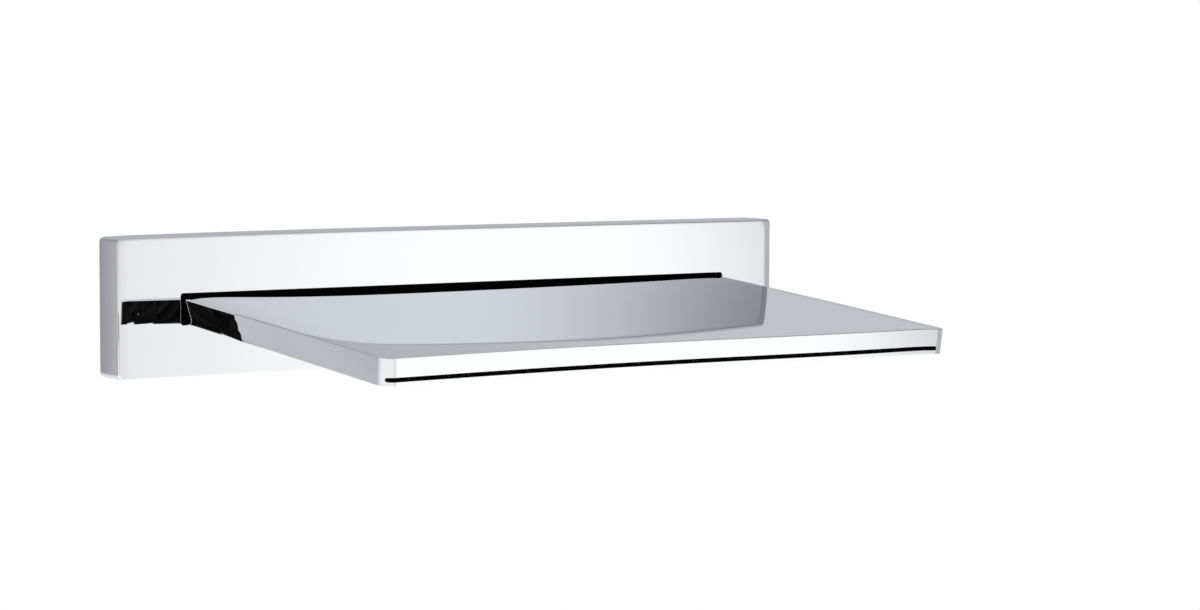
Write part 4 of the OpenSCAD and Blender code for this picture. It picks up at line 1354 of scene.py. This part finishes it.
def build_tail(sizes):
    """Inlet tail: spigot with grooves, hexagon with turned corners, and a rolled pipe thread."""
    s = sizes
    low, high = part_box("inlet_tail")
    centre = (0.0, (low.z + high.z) / 2)
    y0, y1 = low.y, high.y
    break_edge = 0.0003

    def six(limit):
        """Radius of the hexagon, turned down to a limit."""
        def radius(a):
            sector = (a + math.pi / 6) % (math.pi / 3) - math.pi / 6
            flat = s.flats / 2 / math.cos(math.pi / 6 - abs(sector))
            return min(flat, limit)
        return radius

    def thread(y):
        """Radius of the thread, which runs in and out at its ends."""
        ease = min(1.0, (y - s.thread_start) / s.pitch, (y1 - y) / s.pitch * 1.5 + 0.2)
        top = s.thread_radius - max(0.0, y - (y1 - 0.001))

        def radius(a):
            turn = (y / s.pitch - a / (2 * math.pi)) % 1.0
            cut = min(1.0, max(0.0, (abs(2 * turn - 1) - CREST) / FLANK))
            return min(top, s.thread_radius - s.thread_depth * cut * max(0.0, ease))
        return radius

    rows = [(y0, s.bore + break_edge), (y0, s.spigot - break_edge), (y0 + break_edge, s.spigot)]
    for place in (s.ring_at, s.ring_at + s.ring_pitch):
        front, back = place - s.groove / 2, place + s.groove / 2
        rows += [
            (front - BROKEN_EDGE, s.spigot), (front, s.spigot - BROKEN_EDGE),
            (front, s.groove_floor), (back, s.groove_floor),
            (back, s.spigot - BROKEN_EDGE), (back + BROKEN_EDGE, s.spigot),
        ]
    hex_end = s.hex_start + s.hex_length
    corner = s.flats / 2 / math.cos(math.pi / 6)
    rows += [(s.hex_start, s.spigot), (s.hex_start, s.flats / 2 - 0.0002)]
    turned = [(HEX_TURN * k / HEX_STEPS, six(s.flats / 2 + (corner - s.flats / 2) * k / HEX_STEPS))
              for k in range(HEX_STEPS + 1)]
    rows += [(s.hex_start + y, radius) for y, radius in turned]
    rows += [(hex_end - y, radius) for y, radius in reversed(turned)]
    rows += [(hex_end, s.relief), (s.thread_start, s.relief)]
    threaded = y1 - s.thread_start
    count_rows = int(threaded / s.pitch * 10)
    places = [s.thread_start + threaded * k / count_rows for k in range(count_rows + 1)]
    rows += [(y, thread(y)) for y in places]
    seat = s.filter_seat
    rows += [(y1, seat + break_edge), (y1 - break_edge, seat), (y1 - s.filter_depth, seat),
             (y1 - s.filter_depth, s.bore), (y0 + break_edge, s.bore)]
    work = bmesh.new()
    lathe(work, rows, ROUND_STEPS, centre)
    bmesh.ops.dissolve_degenerate(work, dist=1e-7, edges=work.edges)
    attach(finished(work, "inlet_tail_turned", "brass", crease=28.0), "brass", "inlet_tail")

    # O-rings in the spigot's grooves
    rings = bmesh.new()
    node_low, node_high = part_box("spigot_o_rings")
    outer = (node_high.z - node_low.z) / 2
    section = s.ring_section
    middle = outer - section
    angles = [2 * math.pi * k / RING_STEPS for k in range(RING_STEPS)]
    for place in (s.ring_at, s.ring_at + s.ring_pitch):
        rows = [(place + section * math.sin(a), middle + section * math.cos(a)) for a in angles]
        lathe(rings, rows, ROUND_STEPS, centre)
    attach(finished(rings, "o_rings_round", "rubber"), "rubber", "spigot_o_rings")


PLUG_NECK = 0.0035  # plain length at a plug's mouth
PLUG_NOSE = 0.002  # length of its tapered end
BARB_DEPTH = 0.0006
PLUG_STEPS = 20  # faces round half a plug


def build_plugs(sizes):
    """Wall plugs: barbed halves with a slit between them, and a plain neck."""
    s = sizes
    low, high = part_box("wall_plugs")
    radius = (high.z - low.z) / 2
    middle = (low.z + high.z) / 2
    x = low.x + radius
    length_y = high.y - low.y
    stations = [(0.0, radius - 0.0002), (0.0002, radius), (PLUG_NECK - 0.0004, radius)]
    y = PLUG_NECK
    crest = radius - 0.00005
    while y + s.barb < length_y - 1.5 * PLUG_NOSE:
        stations += [(y, radius - BARB_DEPTH), (y + s.barb * 0.85, crest), (y + s.barb, crest)]
        y += s.barb + 20 * MERGE
    stations += [(length_y - PLUG_NOSE, radius - 0.0007), (length_y, radius - 0.0013)]
    work = bmesh.new()

    def bow(side, y, r, gap):
        """Half a circle that stops short of the slit at both ends."""
        turn = math.asin(min(1.0, gap / r))
        start, sweep = -math.pi / 2 + turn, math.pi - 2 * turn
        angles = [start + sweep * i / PLUG_STEPS for i in range(PLUG_STEPS + 1)]
        return [(x + side * r * math.cos(a), low.y + y, middle + r * math.sin(a)) for a in angles]

    for side in (-1, 1):
        rings = []
        for y, r in stations:
            gap = s.slit / 2 if y > s.slit_at else 20 * MERGE
            loop = bow(side, y, r, gap) + bow(side, y, s.plug_bore, gap)[::-1]
            rings.append([work.verts.new(p) for p in loop])
        for first, second in zip(rings, rings[1:]):
            for i in range(len(first)):
                j = (i + 1) % len(first)
                work.faces.new((first[i], first[j], second[j], second[i]))
        for ring in (rings[0], rings[-1]):
            for i in range(PLUG_STEPS):
                work.faces.new((ring[i], ring[i + 1], ring[-i - 2], ring[-i - 1]))
    piece = finished(work, "wall_plugs_barbed", "plug", crease=25.0)
    repeat(piece, "plug", 2, high.x - low.x - 2 * radius)
    attach(piece, "plug", "wall_plugs")


def channel_size(blade):
    """Width, height and top of what fits in the blade's channel."""
    wide = blade.width - 2 * blade.side_wall - 2 * PLAY
    tall = blade.height - blade.top_wall - blade.floor - 2 * PLAY
    return wide, tall, -blade.top_wall - PLAY


def build_comb(sizes, blade):
    """Flow comb: thin fins with rounded noses on a web, in the blade's channel."""
    s = sizes
    wide, tall, top = channel_size(blade)
    count_fins = int((wide - s.fin) / s.fin_pitch) + 1
    start_x = -(count_fins - 1) * s.fin_pitch / 2
    fin = bmesh.new()
    outline = []
    for end, sign in ((-s.comb_at - s.comb_length, -1), (-s.comb_at, 1)):
        nose = sign * s.fin / 2
        for i in range(9):
            a = math.pi * i / 8
            outline.append((start_x - nose * math.cos(a), end - nose + nose * math.sin(a)))
    rings = [[fin.verts.new((px, py, z)) for px, py in outline] for z in (top - tall, top)]
    for i in range(len(outline)):
        j = (i + 1) % len(outline)
        fin.faces.new((rings[0][i], rings[0][j], rings[1][j], rings[1][i]))
    for ring in rings:
        fin.faces.new(ring)
    fins = repeat(finished(fin, "flow_comb_fins", "plastic"), "plastic", count_fins, s.fin_pitch)
    work = bmesh.new()
    work.from_mesh(fins.data)
    web = bmesh.ops.create_cube(work, size=1.0)["verts"]
    middle = Vector((0.0, -s.comb_at - s.comb_length / 2, top - s.web / 2))
    web_size = Vector((wide, s.comb_length / 3, s.web))
    for vertex in web:
        vertex.co = middle + vertex.co * web_size
    rounds = list({e for v in web for e in v.link_edges})
    bmesh.ops.bevel(work, geom=rounds, offset=BROKEN_EDGE, segments=2, profile=0.5, affect="EDGES")
    bpy.data.objects.remove(fins)
    into_blade(work, blade)
    attach(finished(work, "flow_comb_moulded", "plastic"), "plastic", "flow_comb")


def into_blade(work, blade):
    """Moves a mesh from the blade's own frame to its place, with the blade's polish left out."""
    place = blade_place(blade)
    for vertex in work.verts:
        vertex.co = Vector(place(np.array([vertex.co[:]]))[0])


def build_diffuser(sizes, blade):
    """Diffuser strip, built from one punched tile and two plain ends."""
    s = sizes
    wide, tall, top = channel_size(blade)
    count_holes = int((wide - 2 * s.punch_pitch) / s.punch_pitch) + 1
    start_x = -(count_holes - 1) * s.punch_pitch / 2
    middle_z = top - tall / 2
    back, front = -s.diffuser_at, -s.diffuser_at - s.diffuser_thick
    tile = bmesh.new()
    steps = 32
    loops = []
    mouth = s.punch + BROKEN_EDGE
    for y, radius in (
        (front, None), (front, mouth), (front + BROKEN_EDGE, s.punch),
        (back - BROKEN_EDGE, s.punch), (back, mouth), (back, None),
    ):
        loop = []
        for i in range(steps):
            px, pz = math.cos(2 * math.pi * i / steps), math.sin(2 * math.pi * i / steps)
            if radius is None:  # the tile's own outline
                reach = 1 / max(abs(px), abs(pz))
                px, pz = px * reach * s.punch_pitch / 2, pz * reach * tall / 2
            else:
                px, pz = px * radius, pz * radius
            loop.append(tile.verts.new((start_x + px, y, middle_z + pz)))
        loops.append(loop)
    for first, second in zip(loops, loops[1:]):
        for i in range(steps):
            j = (i + 1) % steps
            tile.faces.new((first[i], first[j], second[j], second[i]))
    for i in range(steps):
        j = (i + 1) % steps
        if abs(loops[0][i].co.z - loops[0][j].co.z) < MERGE:
            tile.faces.new((loops[0][i], loops[0][j], loops[-1][j], loops[-1][i]))
    tiles = repeat(finished(tile, "diffuser_tiles", "steel"), "steel", count_holes, s.punch_pitch)
    work = bmesh.new()
    work.from_mesh(tiles.data)
    for sign in (-1, 1):
        inner = sign * (count_holes * s.punch_pitch / 2)
        outer = sign * wide / 2
        end = [work.verts.new((px, py, middle_z + pz * tall / 2))
               for px in (inner, outer) for py in (front, back) for pz in (-1, 1)]
        for a, b, c, d in ((0, 1, 5, 4), (2, 3, 7, 6), (0, 2, 6, 4), (1, 3, 7, 5), (4, 5, 7, 6)):
            work.faces.new((end[a], end[b], end[c], end[d]))
    bmesh.ops.remove_doubles(work, verts=work.verts, dist=2 * MERGE)
    bpy.data.objects.remove(tiles)
    into_blade(work, blade)
    attach(finished(work, "diffuser_punched", "steel"), "steel", "diffuser_strip")


# Operators

class FILLER_OT_cover_plate(bpy.types.Operator):
    """Make the cover plate"""

    bl_idname = "filler.cover_plate"
    bl_label = "Cover plate"

    def execute(self, context):
        build_plate(context.scene.filler_plate)
        return {"FINISHED"}


class FILLER_OT_blade(bpy.types.Operator):
    """Make the blade and its bottom plate"""

    bl_idname = "filler.blade"
    bl_label = "Blade"

    def execute(self, context):
        build_blade(context.scene.filler_blade)
        build_floor(context.scene.filler_blade)
        return {"FINISHED"}


class FILLER_OT_bracket(bpy.types.Operator):
    """Make the wall bracket, its pins, washers and the foam seal"""

    bl_idname = "filler.bracket"
    bl_label = "Bracket"

    def execute(self, context):
        build_soft("wall_bracket", "bracket_steel")
        build_soft("cover_seal", "foam")
        for node in ("locating_pins", "bracket_washers"):
            build_set(node, "steel", *pair_of(node))
        return {"FINISHED"}


class FILLER_OT_manifold(bpy.types.Operator):
    """Make the manifold, its gasket, the blade's flange and the rubber collar"""

    bl_idname = "filler.manifold"
    bl_label = "Manifold"

    def execute(self, context):
        build_soft("manifold_body", "brass")
        build_soft("manifold_gasket", "rubber")
        build_soft("blade_flange", "brass")
        # the collar takes painted shade: its rubber is darkened to near black for the gap's shade
        build_soft("aperture_collar", "collar")
        return {"FINISHED"}


class FILLER_OT_screws(bpy.types.Operator):
    """Make every set of screws"""

    bl_idname = "filler.screws"
    bl_label = "Screws"

    def execute(self, context):
        for node in ("manifold_screws", "bracket_screws", "grub_screws"):
            build_set(node, "steel", *pair_of(node))
        low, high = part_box("flange_screws")
        head = context.scene.filler_fittings.flange_head
        columns = 6
        across, up = (high.x - low.x - head) / (columns - 1), high.z - low.z - head
        build_set("flange_screws", "steel", columns, across, 2, up)
        return {"FINISHED"}


class FILLER_OT_inlet(bpy.types.Operator):
    """Make the inlet tail with its rings, washer and filter"""

    bl_idname = "filler.inlet"
    bl_label = "Inlet"

    def execute(self, context):
        build_tail(context.scene.filler_fittings)
        build_soft("tail_washer", "fibre")
        build_soft("filter_rim", "plastic")
        build_soft("filter_mesh", "steel")
        return {"FINISHED"}


class FILLER_OT_plugs(bpy.types.Operator):
    """Make the wall plugs"""

    bl_idname = "filler.plugs"
    bl_label = "Wall plugs"

    def execute(self, context):
        build_plugs(context.scene.filler_fittings)
        return {"FINISHED"}


class FILLER_OT_waterway(bpy.types.Operator):
    """Make the diffuser and the flow comb in the blade"""

    bl_idname = "filler.waterway"
    bl_label = "Waterway"

    def execute(self, context):
        sizes, blade = context.scene.filler_fittings, context.scene.filler_blade
        build_diffuser(sizes, blade)
        build_comb(sizes, blade)
        return {"FINISHED"}


class FILLER_OT_stage(bpy.types.Operator):
    """Set up the floor, the light and the camera"""

    bl_idname = "filler.stage"
    bl_label = "Stage"

    def execute(self, context):
        sizes = context.scene.filler_stage
        build_floor_disc(sizes)
        build_room(context.scene)
        build_camera(sizes)
        context.scene.view_settings.view_transform = "Standard"
        return {"FINISHED"}


def build_floor_disc(sizes):
    """Pale round floor far below the filler, and a soft light high above it."""
    mesh = bpy.data.meshes.new("floor")
    work = bmesh.new()
    bmesh.ops.create_circle(work, cap_ends=True, segments=96, radius=sizes.floor_radius)
    bmesh.ops.translate(work, verts=work.verts, vec=(0.0, 0.0, -sizes.floor_drop))
    work.to_mesh(mesh)
    work.free()
    floor = bpy.data.objects.new("floor", mesh)
    bpy.context.scene.collection.objects.link(floor)

    def recipe(r, finishes):
        grain = r.noise(r.place(), 3.0, 4.0)
        shade = r.blend(grain, (0.86, 0.86, 0.86, 1.0), (0.9, 0.9, 0.9, 1.0))
        r.surface(Base_Color=shade, Roughness=0.9)
    mesh.materials.append(material("floor_paint", recipe))
    lamp = bpy.data.lights.new("overhead", "AREA")
    lamp.shape, lamp.size, lamp.energy = "DISK", sizes.light_size, sizes.light_power
    light = bpy.data.objects.new("overhead", lamp)
    light.location = (0.0, -1.0, 3.0)
    light.visible_glossy = False
    light.visible_camera = False
    bpy.context.scene.collection.objects.link(light)


def build_room(scene):
    """Soft studio surroundings: a wide white wall in front, greyer to the right and behind.

    Turn is from straight ahead of the filler to its right, and rise from level, both in degrees.
    """
    world = bpy.data.worlds.new("studio")
    scene.world = world
    world.use_nodes = True
    r = Recipe(world.node_tree)
    direction = r.node("ShaderNodeTexCoord")["Generated"]
    split = r.node("ShaderNodeSeparateXYZ", None, {"Vector": direction})
    turn = split["X"].math("ARCTAN2", 0 - split["Y"]) * (180 / math.pi)
    rise = split["Z"].math("ARCSINE") * (180 / math.pi)

    # White wall, brightest just left of its right end, and dimmer towards its top
    white = 0.80 + r.smooth(turn, 2.0, 30.0) * 0.09 + r.smooth(turn, 23.5, 31.5) * 0.21
    white = white + r.band(turn, -88.0, 0.0, 4.0) * 0.15
    white = white * (1 - r.smooth(rise, -4.0, 12.0) * 0.31)
    # Its right end leans, and is softer high up than low down
    low = r.smooth(0 - rise, 4.0, 12.0)
    end = 37.9 - (rise + 4.3) * 0.14 + low * 2.3
    wall = r.smooth((turn - end) / (3.8 - low * 1.2), -1.0, 1.0, 1.0, 0.0)
    wall = r.smooth(turn, -90.6, -89.4) * wall
    # Greyer room to the right, with a paler strip behind
    right = 0.50 - r.smooth(rise, -2.0, 10.0) * 0.25 + r.smooth(rise, 26.0, 36.0) * 0.20
    strip = r.band(turn, 132.0, 147.0, 4.0) * (r.smooth(rise, 6.0, 10.0) * 0.08 + 0.03)
    behind = r.smooth(turn, 98.0, 138.0)
    right = (1 - behind) * right + behind * (0.46 + strip)
    # Grey room to the left, paler towards the wall and low down
    left = 0.33 + r.smooth(turn, -160.0, -150.5) * 0.14 + r.smooth(turn, -147.0, -91.0) * 0.05
    left = left + r.smooth(turn, -140.0, -100.0) * 0.30 + r.smooth(0 - rise, 5.0, 9.0) * 0.10
    side = r.smooth(turn, -1.0, 1.0)
    rest = side * right + (1 - side) * left
    # Dark low part to the front left, with faint slats
    across = r.node("ShaderNodeCombineXYZ", None, {"X": turn * 0.5, "Y": rise * 3.0})["Vector"]
    slats = r.smooth(r.noise(across, 1.0, 3.0, 0.6), 0.40, 0.75) * 0.012 + 0.003
    dark = r.band(turn, -52.0, -8.0, 1.2) * r.band(rise, -12.0, -5.6, 0.5)
    level = (wall * white + (1 - wall) * rest) * (1 - dark) + dark * slats
    # Even grey overhead
    over = r.smooth(rise, 25.0, 70.0)
    level = level * (1 - over) + over * 0.48
    # Cooler away from the wall; the camera itself sees plain white
    cool = (1 - wall) + wall * r.smooth(rise, 0.0, 6.0)
    seen = r.node("ShaderNodeLightPath")["Is Camera Ray"]
    level = level * (1 - seen) + seen * 1.0
    cool = cool * (1 - seen)
    tone = r.node("ShaderNodeCombineColor", None, {
        "Red": level * (1 - cool * 0.035), "Green": level, "Blue": level * (1 + cool * 0.055)})
    light = r.node("ShaderNodeBackground", None, {"Color": tone["Color"], "Strength": 1.0})
    r.node("ShaderNodeOutputWorld", None, {"Surface": light["Background"]})


def build_camera(sizes):
    """Camera at the photograph's place."""
    yaw, pitch, roll = sizes.camera_yaw, sizes.camera_pitch, sizes.camera_roll
    level = math.cos(pitch)
    ahead = Vector((math.sin(yaw) * level, math.cos(yaw) * level, -math.sin(pitch)))
    right = Vector((math.cos(yaw), -math.sin(yaw), 0.0))
    up = right.cross(ahead)
    right, up = (
        math.cos(roll) * right + math.sin(roll) * up,
        math.cos(roll) * up - math.sin(roll) * right,
    )
    lens = bpy.data.cameras.new("camera")
    lens.sensor_width, lens.lens = SENSOR_WIDTH, sizes.lens
    lens.clip_start, lens.clip_end = 0.05, 50.0
    camera = bpy.data.objects.new("camera", lens)
    turned = Matrix((right, up, -ahead)).transposed().to_4x4()
    camera.matrix_world = Matrix.Translation(CAMERA_PLACE) @ turned
    bpy.context.scene.collection.objects.link(camera)
    bpy.context.scene.camera = camera


class FILLER_PT_panel(bpy.types.Panel):
    """Sizes, finishes and steps of the bath filler"""

    bl_idname = "FILLER_PT_panel"
    bl_label = "Bath filler"
    bl_space_type = "VIEW_3D"
    bl_region_type = "UI"
    bl_category = "Bath filler"

    def draw(self, context):
        for name, group in GROUPS.items():
            box = self.layout.box()
            box.label(text=group.__doc__)
            for key in group.__annotations__:
                box.prop(getattr(context.scene, name), key)
        for step in STEPS:
            self.layout.operator(step.bl_idname)


GROUPS = {
    "filler_plate": PlateSizes,
    "filler_blade": BladeSizes,
    "filler_fittings": FittingSizes,
    "filler_finishes": Finishes,
    "filler_stage": StageSizes,
}
STEPS = (
    FILLER_OT_cover_plate,
    FILLER_OT_blade,
    FILLER_OT_bracket,
    FILLER_OT_manifold,
    FILLER_OT_screws,
    FILLER_OT_inlet,
    FILLER_OT_plugs,
    FILLER_OT_waterway,
    FILLER_OT_stage,
)


def register():
    """Registers the classes and puts the settings on the scene."""
    for group in GROUPS.values():
        bpy.utils.register_class(group)
    for name, group in GROUPS.items():
        setattr(bpy.types.Scene, name, bpy.props.PointerProperty(type=group))
    for step in STEPS:
        bpy.utils.register_class(step)
    bpy.utils.register_class(FILLER_PT_panel)


def unregister():
    """Takes the settings off the scene and unregisters the classes."""
    bpy.utils.unregister_class(FILLER_PT_panel)
    for step in reversed(STEPS):
        bpy.utils.unregister_class(step)
    for name, group in GROUPS.items():
        delattr(bpy.types.Scene, name)
        bpy.utils.unregister_class(group)


def main():
    """Makes every piece and the stage."""
    register()
    for step in STEPS:
        family, name = step.bl_idname.split(".")
        getattr(getattr(bpy.ops, family), name)()


if __name__ == "__main__":
    main()
